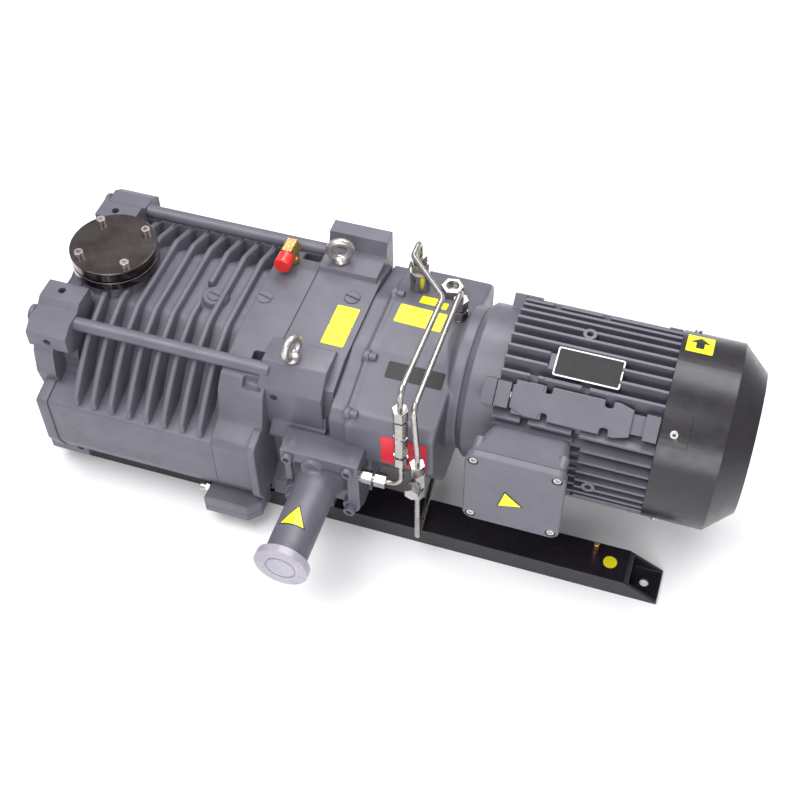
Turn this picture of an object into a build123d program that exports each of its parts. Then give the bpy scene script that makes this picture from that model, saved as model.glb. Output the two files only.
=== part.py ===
"""Dry multi-stage roots vacuum pump set on two rails.

X runs along the shafts towards the motor, Y across, Z up.  The origin lies on the floor, in the
middle of the base bolt pattern.  All sizes are in millimetres.
"""
import os
from math import acos, cos, hypot, pi, radians, sin, sqrt, tan

from build123d import *

os.makedirs("parts", exist_ok=True)

# ---------------------------------------------------------------- shaft line and timing gears
shaft_z = 155.0             # height of the drive shaft and motor axis
gear_module = 2.0
gear_teeth = 26
pressure_angle = 20.0
gear_backlash = 0.3         # along the pitch circle
gear_width = 16.0
pitch_r = gear_module * gear_teeth / 2
centre_distance = 2 * pitch_r
driven_z = shaft_z - centre_distance

# ---------------------------------------------------------------- fits and clearances
running = 0.05              # radial gap between a shaft and the ring it runs in
seat = 0.02                 # radial gap of a part seated in a housing or on a shaft
rotor_gap = 0.2             # each rotor is this much inside its exact conjugate form
axial_gap = 0.5             # rotor face to chamber wall
shaft_gap = 0.4             # shaft to the walls that it passes through
joint_gap = 0.3             # painted or loose parts side by side

# ---------------------------------------------------------------- lengths along X
gearbox_x = -7.5            # joint face between headplate and gearbox
headplate_l = 70.0
exhaust_stage_l = 51.0
stator_l = 170.0
end_cover_l = 46.5
band_l = 28.0               # wider rim of the gearbox
gearbox_l = 113.5
spigot_l = 11.5             # round end of the gearbox that carries the motor bell
bell_l = 37.5
motor_l = 163.5
cowl_l = 90.0

headplate_x = gearbox_x - headplate_l
exhaust_x = headplate_x - exhaust_stage_l
stator_x = exhaust_x - stator_l
cover_x = stator_x - end_cover_l
band_x = gearbox_x + band_l
spigot_x = gearbox_x + gearbox_l
bell_x = spigot_x + spigot_l
motor_x = bell_x + bell_l
cowl_x = motor_x + motor_l
cowl_end_x = cowl_x + cowl_l

# ---------------------------------------------------------------- rotors and chambers
rotor_tip_r = 1.5 * pitch_r             # two-lobe cycloidal rotors
bore_r = rotor_tip_r + 0.15
rotor_seat_r = 9.0
stage_l = (76.0, 44.0, 32.0)            # chambers of the finned stator, inlet first
partition_l = 9.0
last_stage_l = 24.0
stage_wall_l = exhaust_stage_l - last_stage_l

# ---------------------------------------------------------------- bearings and seals
cover_journal_r = 8.5
cover_bearing_r = 20.0
cover_bearing_l = 12.0
head_journal_r = 10.0
head_bearing_r = 23.5
head_bearing_l = 14.0
bearing_ring_t = 4.0
seal_r = 15.0
seal_l = 7.0

# ---------------------------------------------------------------- base rails
rail_l = 711.0
rail_w = 42.3
rail_h = 24.4
rail_t = 3.0
rail_inner_y = 77.0
rail_slope_l = 38.0
rail_hole_r = 5.0
base_spacing_x = 677.0
base_spacing_y = 196.0
foot_bolt_r = 5.0
foot_bolt_y = base_spacing_y / 2
stud_r = 3.0
stud_h = 18.0
stud_xy = (281.0, -91.0)

# ---------------------------------------------------------------- castings across the shaft line
body_top_z = 200.0          # valley floor between the fins
body_half_y = 150.0         # ledge edge
ledge_z = 130.0
panel_z = 66.0
body_bottom_z = 30.0
fin_top_z = 209.0
fin_count = 8
fin_pitch = 20.5
fin_t = 5.5
first_fin_x = exhaust_x - 11.0
stage_top_z = 206.0
end_flange_l = 9.0
head_top_z = 207.0
eye_block_top_z = 213.0
eye_block_y = 108.0
eye_block_z = 137.0
eye_block_x = (headplate_x, -17.0)
rear_block_top_z = 231.0
gearbox_half_y = 118.0
gearbox_top_z = 209.0
gearbox_bottom_z = 62.0
gearbox_wall = 7.0
exhaust_face_y = 112.0      # face that the manifold bolts to

sensor_top_z = 46.0         # flat that the sensor box hangs from
sensor_seat_x = -111.0
sensor_seat_l = 67.0
sensor_seat_y = body_half_y - 29

# ---------------------------------------------------------------- tie rods, eyes, plugs
tie_rod_r = 7.5
tie_rod_y = 92.0
tie_rod_z = 202.0
rod_thread_r = 4.0
rod_thread_l = 14.0
eye_x = -57.0
eye_y = 76.7
eye_ring_r = 13.5
eye_bar_r = 4.2
plug_r = 8.5
plug_h = 3.0

# ---------------------------------------------------------------- inlet
inlet_x = -293.0
inlet_r = 47.5
inlet_neck_r = 40.0
inlet_bore_r = 30.0
inlet_base_z = 209.0
neck_floor_z = 190.0        # the round bore opens into the square chamber here
inlet_flange_z = 212.0
inlet_flange_t = 10.0
inlet_seal_t = 2.0
inlet_blank_t = 11.5
inlet_pcd_r = 38.0
inlet_screw_r = 3.0

# ---------------------------------------------------------------- exhaust
exhaust_pipe_x = -11.5
exhaust_pipe_z = 104.0
exhaust_pipe_r = 22.25
exhaust_bore_r = 19.5
exhaust_end_y = 254.0
exhaust_flange_r = 27.0
manifold_x = (-54.0, 33.0)
manifold_z = (60.0, 145.0)
manifold_flange_t = 15.0
manifold_screw_x = 33.0     # half the spacing
manifold_screw_z = 33.0
manifold_depth = 42.0
manifold_mid_x = sum(manifold_x) / 2
manifold_mid_z = sum(manifold_z) / 2
gasket_t = 1.0
cap_t = 1.6
cap_r = 28.5
cap_skirt = 7.0

# ---------------------------------------------------------------- motor
motor_r = 98.5              # over the fins and the cowl
barrel_r = 82.0
frame_wall = 8.0
frame_bore_r = barrel_r - frame_wall
motor_fin_t = 3.2
motor_fin_pitch = 12.4
motor_fins = 9              # in each quarter
pad_w = 30.0
pad_h = 95.5
core_x = (motor_x + 36.0, cowl_x - 36.0)
air_gap = 0.5
rotor_core_r = 46.0
motor_shaft_r = 14.0
motor_front_bearing_r = 31.0
motor_rear_bearing_r = 26.0
motor_bearing_l = 16.0
motor_front_journal_r = 15.0
motor_rear_journal_r = 12.5
cowl_t = 2.0
cowl_straight_l = 63.0
cowl_end_r = 74.0
fan_r = 78.0
fan_blades = 7

# ---------------------------------------------------------------- terminal box
box_x = (143.5, 244.5)
box_z = (101.6, 206.8)
box_face_y = 139.0
box_lid_t = 9.0
box_gasket_t = 1.5
box_depth = 34.0
box_wall = 4.0
box_neck_y = 78.0


# ================================================================ helpers
def across(x):
    """Plane across the shafts: its own x is Y, its own y is Z, and it faces the motor."""
    return Plane(origin=(x, 0, 0), x_dir=(0, 1, 0), z_dir=(1, 0, 0))


def facing(y):
    """Plane at Y = -y that faces the front: its own x is X and its own y is Z."""
    return Plane(origin=(0, -y, 0), x_dir=(1, 0, 0), z_dir=(0, -1, 0))


def save(piece, name):
    piece.part.label = name
    export_step(piece.part, f"parts/{name}.step")


def symmetric_outline(half):
    """Closed outline from the +Y half, given top to bottom as (y, z)."""
    with BuildLine() as outline:
        Polyline(*half, *[(-y, z) for y, z in reversed(half)], close=True)
    return outline.line


def disc(x, length, outer_r, inner_r=0.0, y=0.0, z=shaft_z):
    """Ring along X, standing at x."""
    with BuildPart() as ring:
        with BuildSketch(across(x)):
            with Locations((y, z)):
                Circle(outer_r)
                if inner_r:
                    Circle(inner_r, mode=Mode.SUBTRACT)
        extrude(amount=length)
    return ring.part


def cap_screw(radius, length, head_h):
    """Socket head screw: its head stands on the XY plane, its shank goes down."""
    with BuildPart() as screw:
        with BuildSketch(Plane.XY):
            Circle(radius * 1.6)
        extrude(amount=head_h)
        with BuildSketch(Plane.XY.offset(head_h)):
            RegularPolygon(radius * 0.85, 6)
        extrude(amount=-head_h * 0.5, mode=Mode.SUBTRACT)
        with BuildSketch(Plane.XY):
            Circle(radius)
        extrude(amount=-length)
    return screw.part


def hex_piece(across_flats, length, hole_r=0.0):
    """Hexagonal bar along Z from the XY plane, with an optional hole."""
    with BuildPart() as nut:
        with BuildSketch(Plane.XY):
            RegularPolygon(across_flats / 2, 6, major_radius=False)
            if hole_r:
                Circle(hole_r, mode=Mode.SUBTRACT)
        extrude(amount=length)
    return nut.part


def stepped_shaft(z, start_x, steps):
    """Shaft along X at height z; each step is (radius, end x)."""
    with BuildPart() as shaft:
        x = start_x
        for radius, end_x in steps:
            with BuildSketch(across(x)):
                with Locations((0, z)):
                    Circle(radius)
            extrude(amount=end_x - x)
            x = end_x
        chamfer(shaft.faces().sort_by(Axis.X)[0].edges(), 1.0)
        chamfer(shaft.faces().sort_by(Axis.X)[-1].edges(), 1.0)
    return shaft.part


# ================================================================ base rails
def base_rail():
    """Channel, open downwards; its web stops short and the flanges slope to the foot plates."""
    half_l = rail_l / 2
    with BuildPart() as rail:
        with BuildSketch(facing(rail_inner_y)):
            with BuildLine():
                Polyline((-half_l, 0), (half_l, 0), (half_l, rail_t), (half_l - rail_slope_l, rail_h),
                         (rail_slope_l - half_l, rail_h), (-half_l, rail_t), close=True)
            make_face()
        extrude(amount=rail_w)
        with BuildSketch(facing(rail_inner_y + rail_t)):
            with Locations((0, (rail_h - rail_t) / 2)):
                Rectangle(rail_l + 2, rail_h - rail_t)
        extrude(amount=rail_w - 2 * rail_t, mode=Mode.SUBTRACT)
        middle_y = -rail_inner_y - rail_w / 2
        for side in (-1, 1):
            with Locations((side * (half_l - rail_slope_l / 2), middle_y, rail_t / 2)):
                Box(rail_slope_l, rail_w - 2 * rail_t, rail_t)
            with Locations((side * base_spacing_x / 2, -base_spacing_y / 2, rail_t)):
                Hole(rail_hole_r)
        with Locations(*[(x, -foot_bolt_y, rail_h) for x in foot_bolt_x]):
            Hole(foot_bolt_r + 0.5)
    return rail.part


foot_bolt_x = (cover_x + 21.0, gearbox_x - 35.0)

with BuildPart() as base_rail_front:
    add(base_rail())
    with Locations((*stud_xy, rail_h)):
        Hole(stud_r + seat)
save(base_rail_front, "base_rail_front")

with BuildPart() as base_rail_rear:
    add(mirror(base_rail(), about=Plane.XZ))
save(base_rail_rear, "base_rail_rear")

foot_bolt_l = 16.0
with BuildPart() as foot_bolts:
    for x in foot_bolt_x:
        for y in (-foot_bolt_y, foot_bolt_y):
            with Locations((x, y, rail_h - rail_t - 7.0)):
                add(hex_piece(17.0, 7.0))
            with BuildSketch(Plane.XY.offset(rail_h - rail_t)):
                with Locations((x, y)):
                    Circle(foot_bolt_r)
            extrude(amount=foot_bolt_l)
save(foot_bolts, "foot_bolts")

with BuildPart() as earth_stud:
    with BuildSketch(Plane.XY.offset(rail_h - rail_t - 5.0)):
        with Locations(stud_xy):
            RegularPolygon(5.0, 6, major_radius=False)
    extrude(amount=5.0)
    with BuildSketch(Plane.XY.offset(rail_h - rail_t)):
        with Locations(stud_xy):
            Circle(stud_r)
    extrude(amount=stud_h + rail_t)
    chamfer(earth_stud.faces().sort_by(Axis.Z)[-1].edges(), 0.8)
save(earth_stud, "earth_stud")


# ================================================================ housing bores shared by castings
def both_shafts():
    return [(0, shaft_z), (0, driven_z)]


def sensor_seat():
    """Flat on the lower front edge of the current casting, for the sensor box."""
    with BuildSketch(Plane.XY.offset(sensor_top_z)) as flat:
        with Locations((sensor_seat_x, -body_half_y)):
            Rectangle(sensor_seat_l, 2 * (body_half_y - sensor_seat_y))
    extrude(flat.sketch, amount=-sensor_top_z, mode=Mode.SUBTRACT)


def shaft_bores(x, length, radius):
    """Cut a round bore on both shaft axes in the current part."""
    with BuildSketch(across(x)) as bores:
        with Locations(*both_shafts()):
            Circle(radius)
    extrude(bores.sketch, amount=length, mode=Mode.SUBTRACT)


def threaded_hole(plane, radius, depth):
    """Cut a blind hole into the current part from the plane's origin."""
    with BuildSketch(plane) as mouth:
        Circle(radius)
    extrude(mouth.sketch, amount=-depth, mode=Mode.SUBTRACT)


# ================================================================ end cover
cover_plate_l = 23.0
cover_step = 6.0            # the plate's outer face lies this far inside the lugs
lug_y = (54.0, 118.0)
lug_hole_r = 4.2
cover_side_hole = (cover_x + 23.0, 205.0)
cover_top_hole_y = 65.4
foot_y = 134.6
cover_screw_spots = [(30, shaft_z + 10), (-30, shaft_z + 10), (30, driven_z - 10),
                     (-30, driven_z - 10), (0, shaft_z + 31), (0, driven_z - 31)]
with BuildPart() as end_cover:
    with BuildSketch(across(cover_x + cover_step)):
        make_face(symmetric_outline([(44, 196), (112, 196), (122, 178), (127, 150), (123, 128),
                                     (121, 96), (126, 72), (foot_y, 58), (foot_y, rail_h),
                                     (82, rail_h), (70, 46)]))
    extrude(amount=cover_plate_l)
    with BuildSketch(across(cover_x + cover_step + cover_plate_l)):
        make_face(symmetric_outline([(40, 196), (96, 190), (104, 160), (106, 120), (112, 80),
                                     (118, 60), (70, 46)]))
    extrude(amount=end_cover_l - cover_step - cover_plate_l)
    fillet(end_cover.edges().filter_by(Axis.X).group_by(Axis.Z)[-1], 4.0)
    for side in (-1, 1):
        with BuildSketch(across(cover_x)):
            with BuildLine():
                Polyline(*[(side * y, z) for y, z in (
                    (lug_y[0], 190), (lug_y[0], 218), (78, 218), (86, 211), (104, 211),
                    (lug_y[1], 201), (lug_y[1], 182), (106, 172), (80, 172))], close=True)
            make_face()
        extrude(amount=end_cover_l)
        with BuildSketch(across(cover_x)):
            with Locations((side * (foot_y - 17), (rail_h + 58) / 2)):
                Rectangle(34, 58 - rail_h)
        extrude(amount=end_cover_l)
        with BuildSketch(across(cover_x)):
            with Locations((side * tie_rod_y, tie_rod_z)):
                Circle(tie_rod_r + running)
        extrude(amount=end_cover_l, mode=Mode.SUBTRACT)
        threaded_hole(Plane(origin=(cover_x + 20, side * cover_top_hole_y, 218)), lug_hole_r, 16)
        threaded_hole(Plane(origin=(cover_side_hole[0], side * lug_y[1], 191.5), x_dir=(1, 0, 0),
                            z_dir=(0, side, 0)), lug_hole_r, 9)
        threaded_hole(Plane(origin=(stator_x - 10, side * foot_y, 35.5), x_dir=(1, 0, 0),
                            z_dir=(0, side, 0)), lug_hole_r, 14)
        threaded_hole(Plane(origin=(foot_bolt_x[0], side * foot_bolt_y, rail_h),
                            z_dir=(0, 0, -1)), foot_bolt_r + seat, foot_bolt_l - rail_t + 1)
    pocket_x = cover_x + cover_step
    with BuildSketch(across(pocket_x)):
        with Locations(*cover_screw_spots):
            Circle(2.5 + seat)
    extrude(amount=9, mode=Mode.SUBTRACT)
    shaft_bores(pocket_x, cover_bearing_l + 4, cover_bearing_r + seat)
    shaft_bores(pocket_x, end_cover_l, cover_journal_r + 2)
    shaft_bores(stator_x - seal_l, seal_l, seal_r + seat)
save(end_cover, "end_cover")

bearing_cover_t = 6.0
with BuildPart() as bearing_cover:
    with BuildSketch(across(cover_x)):
        with Locations((0, (shaft_z + driven_z) / 2)):
            SlotCenterToCenter(centre_distance, 2 * (cover_bearing_r + 18), rotation=90)
    extrude(amount=bearing_cover_t)
    fillet(bearing_cover.faces().sort_by(Axis.X)[0].edges(), 1.5)
    with BuildSketch(across(cover_x)):
        with Locations(*both_shafts()):
            Circle(cover_bearing_r - 5)
    extrude(amount=-2.0)
    with BuildSketch(across(cover_x)):
        with Locations(*cover_screw_spots):
            Circle(2.6)
    extrude(amount=bearing_cover_t, mode=Mode.SUBTRACT)
save(bearing_cover, "bearing_cover")


# ================================================================ finned stator
body_half = [(44, body_top_z), (84, 166), (108, 140), (body_half_y, ledge_z),
             (body_half_y, panel_z), (141, 45), (118, 34), (70, body_bottom_z)]
fin_half = [(58, fin_top_z), (76.5, 197), (94, 191), (108, 178), (123, 167), (146, 145),
            (148, ledge_z), (100, 120)]
boss_spot = (-172.0, -12.0)
with BuildPart() as stator_finned:
    with BuildSketch(across(stator_x)):
        make_face(symmetric_outline(body_half))
    extrude(amount=stator_l)
    fillet(stator_finned.edges().filter_by(Axis.X).filter_by(
        lambda e: abs(abs(e.center().Y) - 84) < 1 or abs(abs(e.center().Y) - 44) < 1), 14.0)
    for i in range(fin_count):
        with BuildSketch(across(first_fin_x - i * fin_pitch - fin_t)):
            make_face(symmetric_outline(fin_half))
        extrude(amount=fin_t)
    with BuildSketch(across(stator_x)):
        make_face(symmetric_outline([(y + 1.5 * (y > 100), z) for y, z in body_half]))
    extrude(amount=13.0)
    with BuildSketch(Plane.XY.offset(body_top_z - 12)):
        with Locations(boss_spot):
            Circle(plug_r + 5)
    extrude(amount=fin_top_z - 4 - body_top_z + 12)
    with BuildSketch(Plane.XY.offset(fin_top_z - 4)):
        with Locations(boss_spot):
            Circle(plug_r + 1)
    extrude(amount=5, mode=Mode.SUBTRACT)
    with BuildSketch(Plane.XY.offset(fin_top_z - 4)):
        with Locations(boss_spot):
            Circle(plug_r + seat)
    extrude(amount=-plug_h, mode=Mode.SUBTRACT)
    with BuildSketch(Plane.XY.offset(198)):
        with Locations((inlet_x, 0)):
            Circle(inlet_neck_r)
    extrude(amount=inlet_base_z - 198)
    shaft_bores(stator_x, stator_l, bore_r)
    with BuildSketch(Plane.XY.offset(inlet_base_z)):
        with Locations((inlet_x, 0)):
            Circle(inlet_bore_r)
    extrude(amount=neck_floor_z - inlet_base_z, mode=Mode.SUBTRACT)
    with BuildSketch(Plane.XY.offset(neck_floor_z)):
        with Locations((stator_x + 36, 0)):
            Rectangle(52, 44)
    extrude(amount=shaft_z - inlet_base_z, mode=Mode.SUBTRACT)
    sensor_seat()
save(stator_finned, "stator_finned")

partition_x = [stator_x + stage_l[0], stator_x + stage_l[0] + partition_l + stage_l[1]]
with BuildPart() as partition_plates:
    for i, x in enumerate(partition_x):
        with BuildSketch(across(x)):
            with Locations(*both_shafts()):
                Circle(bore_r - seat)
        extrude(amount=partition_l)
        shaft_bores(x, partition_l, rotor_seat_r + shaft_gap)
        port_side = 1 if i % 2 else -1
        with BuildSketch(across(x)):
            with Locations((port_side * 25, (shaft_z + driven_z) / 2)):
                SlotOverall(14, 7)
        extrude(amount=partition_l, mode=Mode.SUBTRACT)
save(partition_plates, "partition_plates")


# ================================================================ exhaust stage
stage_half = [(52, stage_top_z), (104, 196), (116, 182), (124, 148), (body_half_y - 4, ledge_z + 6),
              (body_half_y, ledge_z - 2), (body_half_y, panel_z), (141, 45), (118, 34),
              (70, body_bottom_z)]
rod_pocket = (-119.0, 30.0)     # left end, and width across
stage_plug_spot = (-119.0, 0.0)
purge_spot = (-112.0, 62.0)
purge_thread_r = 6.5
with BuildPart() as stator_exhaust:
    with BuildSketch(across(exhaust_x)):
        make_face(symmetric_outline(stage_half))
    extrude(amount=exhaust_stage_l)
    with BuildSketch(across(headplate_x - end_flange_l)):
        make_face(symmetric_outline([(100, 140), (153, 140), (154, ledge_z), (154, panel_z - 4),
                                     (143, 41), (118, 31), (70, body_bottom_z)]))
    extrude(amount=end_flange_l)
    for side in (-1, 1):
        pocket_l = headplate_x - rod_pocket[0]
        with Locations((rod_pocket[0] + pocket_l / 2, side * tie_rod_y, tie_rod_z + 6)):
            Box(pocket_l, rod_pocket[1] + 14, 40, mode=Mode.SUBTRACT)
        with BuildSketch(across(exhaust_x)):
            with Locations((side * tie_rod_y, tie_rod_z)):
                Circle(tie_rod_r + 1)
        extrude(amount=exhaust_stage_l, mode=Mode.SUBTRACT)
    shaft_bores(exhaust_x + stage_wall_l, last_stage_l, bore_r)
    shaft_bores(exhaust_x, stage_wall_l, rotor_seat_r + shaft_gap)
    with BuildSketch(Plane.XY.offset(stage_top_z)):
        with Locations(stage_plug_spot):
            Circle(plug_r + seat)
    extrude(amount=-plug_h, mode=Mode.SUBTRACT)
    with BuildSketch(Plane.XY.offset(stage_top_z)):
        with Locations(purge_spot):
            Circle(purge_thread_r + seat)
    extrude(amount=-22, mode=Mode.SUBTRACT)
    with BuildSketch(across(exhaust_x)):
        with Locations((25, (shaft_z + driven_z) / 2)):
            SlotOverall(14, 7)
    extrude(amount=stage_wall_l, mode=Mode.SUBTRACT)
    sensor_seat()
save(stator_exhaust, "stator_exhaust")


# ================================================================ headplate
port_x = -30.0
port_r = 14.0
head_plug_spot = (-29.0, 26.0)
head_half = [(60, head_top_z), (96, 196), (102, 150), (104, 120), (100, 60), (119, 50),
             (119, rail_h), (84, rail_h), (72, 46)]
with BuildPart() as headplate:
    with BuildSketch(across(headplate_x)):
        make_face(symmetric_outline(head_half))
    extrude(amount=headplate_l)
    with BuildSketch(across(eye_block_x[0])):
        with BuildLine():
            Polyline((-50, 200), (-56, eye_block_top_z), (-87.5, eye_block_top_z),
                     (-eye_block_y, 192), (-eye_block_y, eye_block_z), (-90, 131), (-60, 150),
                     close=True)
        make_face()
    extrude(amount=eye_block_x[1] - eye_block_x[0])
    with BuildSketch(across(eye_block_x[0])):
        with BuildLine():
            Polyline((50, 200), (56, eye_block_top_z), (88, eye_block_top_z), (94, rear_block_top_z),
                     (112, rear_block_top_z), (112, eye_block_z), (90, 131), (60, 150), close=True)
        make_face()
    extrude(amount=eye_block_x[1] - eye_block_x[0] + 6)
    with BuildSketch(facing(90)):
        with Locations(((manifold_x[0] + gearbox_x) / 2, sum(manifold_z) / 2)):
            RectangleRounded(gearbox_x - manifold_x[0], manifold_z[1] - manifold_z[0] - 12, 5)
    extrude(amount=exhaust_face_y - 90)
    for side in (-1, 1):
        with BuildSketch(across(headplate_x)):
            with Locations((side * tie_rod_y, tie_rod_z)):
                Circle(rod_thread_r + seat)
        extrude(amount=rod_thread_l + 1, mode=Mode.SUBTRACT)
        threaded_hole(Plane(origin=(eye_x, side * eye_y, eye_block_top_z)), 4 + seat, 15)
        threaded_hole(Plane(origin=(foot_bolt_x[1], side * foot_bolt_y, rail_h),
                            z_dir=(0, 0, -1)), foot_bolt_r + seat, foot_bolt_l - rail_t + 1)
    threaded_hole(Plane(origin=(eye_block_x[0] + 17, -eye_block_y, 172), x_dir=(1, 0, 0),
                        z_dir=(0, -1, 0)), lug_hole_r, 14)
    threaded_hole(Plane(origin=(*head_plug_spot, head_top_z)), plug_r + seat, plug_h)
    shaft_bores(headplate_x, seal_l, seal_r + seat)
    shaft_bores(headplate_x, headplate_l, head_journal_r + 2)
    shaft_bores(gearbox_x - head_bearing_l - 6, head_bearing_l + 6, head_bearing_r + seat)
    with BuildSketch(facing(58)):
        with Locations((port_x, exhaust_pipe_z)):
            Circle(port_r)
    extrude(amount=exhaust_face_y - 58, mode=Mode.SUBTRACT)
    with BuildSketch(across(headplate_x)):
        with Locations((-58, exhaust_pipe_z), (-46, exhaust_pipe_z)):
            Circle(10)
    extrude(amount=port_x + port_r - headplate_x - 4, mode=Mode.SUBTRACT)
    for z in (manifold_mid_z - manifold_screw_z, manifold_mid_z + manifold_screw_z):
        threaded_hole(Plane(origin=(manifold_mid_x - manifold_screw_x, -exhaust_face_y, z),
                            x_dir=(1, 0, 0), z_dir=(0, -1, 0)), 4 + seat, 14)
save(headplate, "headplate")

for side, place in ((-1, "front"), (1, "rear")):
    with BuildPart() as tie_rod:
        for radius, end_x in ((tie_rod_r, headplate_x), (rod_thread_r, headplate_x + rod_thread_l)):
            with BuildSketch(across(cover_x)):
                with Locations((side * tie_rod_y, tie_rod_z)):
                    Circle(radius)
            extrude(amount=end_x - cover_x)
    save(tie_rod, f"tie_rod_{place}")

with BuildPart() as tie_rod_caps:
    for side in (-1, 1):
        with BuildSketch(across(cover_x)):
            with Locations((side * tie_rod_y, tie_rod_z)):
                Circle(10.5)
        extrude(amount=-6)
    fillet(tie_rod_caps.faces().group_by(Axis.X)[0].edges(), 2.5)
save(tie_rod_caps, "tie_rod_caps")


def lifting_eye(turn):
    """Eye bolt on the XY plane, with its ring turned about Z."""
    with BuildPart() as eye:
        with BuildSketch(Plane.XY):
            Circle(9.5)
        extrude(amount=5, taper=12)
        with BuildSketch(Plane.XY):
            Circle(4)
        extrude(amount=-13)
        ring_z = 4 + eye_ring_r
        outward = (cos(radians(turn)), sin(radians(turn)), 0)
        ring_axis = (-outward[1], outward[0], 0)
        with BuildSketch(Plane(origin=(0, 0, ring_z), x_dir=(0, 0, 1), z_dir=outward)):
            with Locations((eye_ring_r, 0)):
                RegularPolygon(eye_bar_r, 8, rotation=22.5)
        revolve(axis=Axis((0, 0, ring_z), ring_axis))
    return eye.part


with BuildPart() as lifting_eyes:
    with Locations((eye_x, -eye_y, eye_block_top_z)):
        add(lifting_eye(62))
    with Locations((eye_x, eye_y, eye_block_top_z)):
        add(lifting_eye(18))
save(lifting_eyes, "lifting_eyes")

with BuildPart() as slotted_plugs:
    for (x, y), z in ((boss_spot, fin_top_z - 4), (stage_plug_spot, stage_top_z),
                      (head_plug_spot, head_top_z)):
        with BuildSketch(Plane.XY.offset(z - plug_h)):
            with Locations((x, y)):
                Circle(plug_r)
        extrude(amount=plug_h + 1.2)
        with Locations((x, y, z + 1.2)):
            Box(2 * plug_r, 2.0, 3.0, rotation=(0, 0, -14), mode=Mode.SUBTRACT)
save(slotted_plugs, "slotted_plugs")


# ================================================================ inlet
flange_top_z = inlet_flange_z + inlet_flange_t
blank_z = flange_top_z + inlet_seal_t
inlet_screw_spots = [(inlet_x + sx * inlet_pcd_r / sqrt(2), sy * inlet_pcd_r / sqrt(2))
                     for sx in (-1, 1) for sy in (-1, 1)]
with BuildPart() as inlet_adapter:
    with BuildSketch(Plane.XY.offset(inlet_base_z)):
        with Locations((inlet_x, 0)):
            Circle(inlet_neck_r - 1)
    extrude(amount=inlet_flange_z - inlet_base_z)
    with BuildSketch(Plane.XY.offset(inlet_flange_z)):
        with Locations((inlet_x, 0)):
            Circle(inlet_r)
    extrude(amount=inlet_flange_t)
    chamfer(inlet_adapter.edges().filter_by(GeomType.CIRCLE).filter_by(
        lambda e: abs(e.radius - inlet_r) < 0.01), 0.8)
    with BuildSketch(Plane.XY.offset(flange_top_z)):
        with Locations((inlet_x, 0)):
            Circle(inlet_bore_r)
        with Locations(*inlet_screw_spots):
            Circle(inlet_screw_r + seat)
    extrude(amount=inlet_base_z - flange_top_z, mode=Mode.SUBTRACT)
save(inlet_adapter, "inlet_adapter")

with BuildPart() as inlet_seal:
    with BuildSketch(Plane.XY.offset(flange_top_z)):
        with Locations((inlet_x, 0)):
            Circle(inlet_r - 4)
            Circle(inlet_bore_r + 1, mode=Mode.SUBTRACT)
        with Locations(*inlet_screw_spots):
            Circle(inlet_screw_r + joint_gap, mode=Mode.SUBTRACT)
    extrude(amount=inlet_seal_t)
save(inlet_seal, "inlet_seal")

with BuildPart() as inlet_blank:
    with BuildSketch(Plane.XY.offset(blank_z)):
        with Locations((inlet_x, 0)):
            Circle(inlet_r)
    extrude(amount=inlet_blank_t)
    chamfer(inlet_blank.edges().filter_by(GeomType.CIRCLE), 0.8)
    with BuildSketch(Plane.XY.offset(blank_z)):
        with Locations(*inlet_screw_spots):
            Circle(inlet_screw_r + joint_gap)
    extrude(amount=inlet_blank_t, mode=Mode.SUBTRACT)
save(inlet_blank, "inlet_blank")

with BuildPart() as inlet_screws:
    for x, y in inlet_screw_spots:
        with Locations((x, y, blank_z + inlet_blank_t)):
            add(cap_screw(inlet_screw_r, inlet_blank_t + inlet_seal_t + inlet_flange_t - 1, 6.0))
save(inlet_screws, "inlet_screws")


# ================================================================ purge port on the exhaust stage
purge_axis_z = 222.0
purge_mouth_y = 42.0
with BuildPart() as purge_fitting:
    with Locations((*purge_spot, stage_top_z)):
        add(hex_piece(17.0, 7.0))
    with BuildSketch(Plane.XY.offset(stage_top_z)):
        with Locations(purge_spot):
            Circle(purge_thread_r)
    extrude(amount=-14)
    with BuildSketch(Plane.XY.offset(stage_top_z + 7)):
        with Locations(purge_spot):
            Circle(7)
    extrude(amount=purge_axis_z - stage_top_z - 7)
    with BuildSketch(facing(-purge_spot[1] - 8)):
        with Locations((purge_spot[0], purge_axis_z)):
            RegularPolygon(9.0, 6, major_radius=False)
    extrude(amount=20)
    with BuildSketch(facing(-purge_mouth_y - 8)):
        with Locations((purge_spot[0], purge_axis_z)):
            Circle(6.5)
    extrude(amount=11)
    with BuildSketch(facing(-purge_mouth_y + 3)):
        with Locations((purge_spot[0], purge_axis_z)):
            Circle(4)
    extrude(amount=-16, mode=Mode.SUBTRACT)
save(purge_fitting, "purge_fitting")

purge_cap_l = 15.0
with BuildPart() as purge_cap:
    with BuildSketch(facing(-purge_mouth_y - 7)):
        with Locations((purge_spot[0], purge_axis_z)):
            Circle(9.5)
    extrude(amount=purge_cap_l)
    fillet(purge_cap.faces().sort_by(Axis.Y)[0].edges(), 1.5)
    with BuildSketch(facing(-purge_mouth_y - 7)):
        with Locations((purge_spot[0], purge_axis_z)):
            Circle(6.5 + joint_gap)
    extrude(amount=10.5, mode=Mode.SUBTRACT)
save(purge_cap, "purge_cap")


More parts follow.
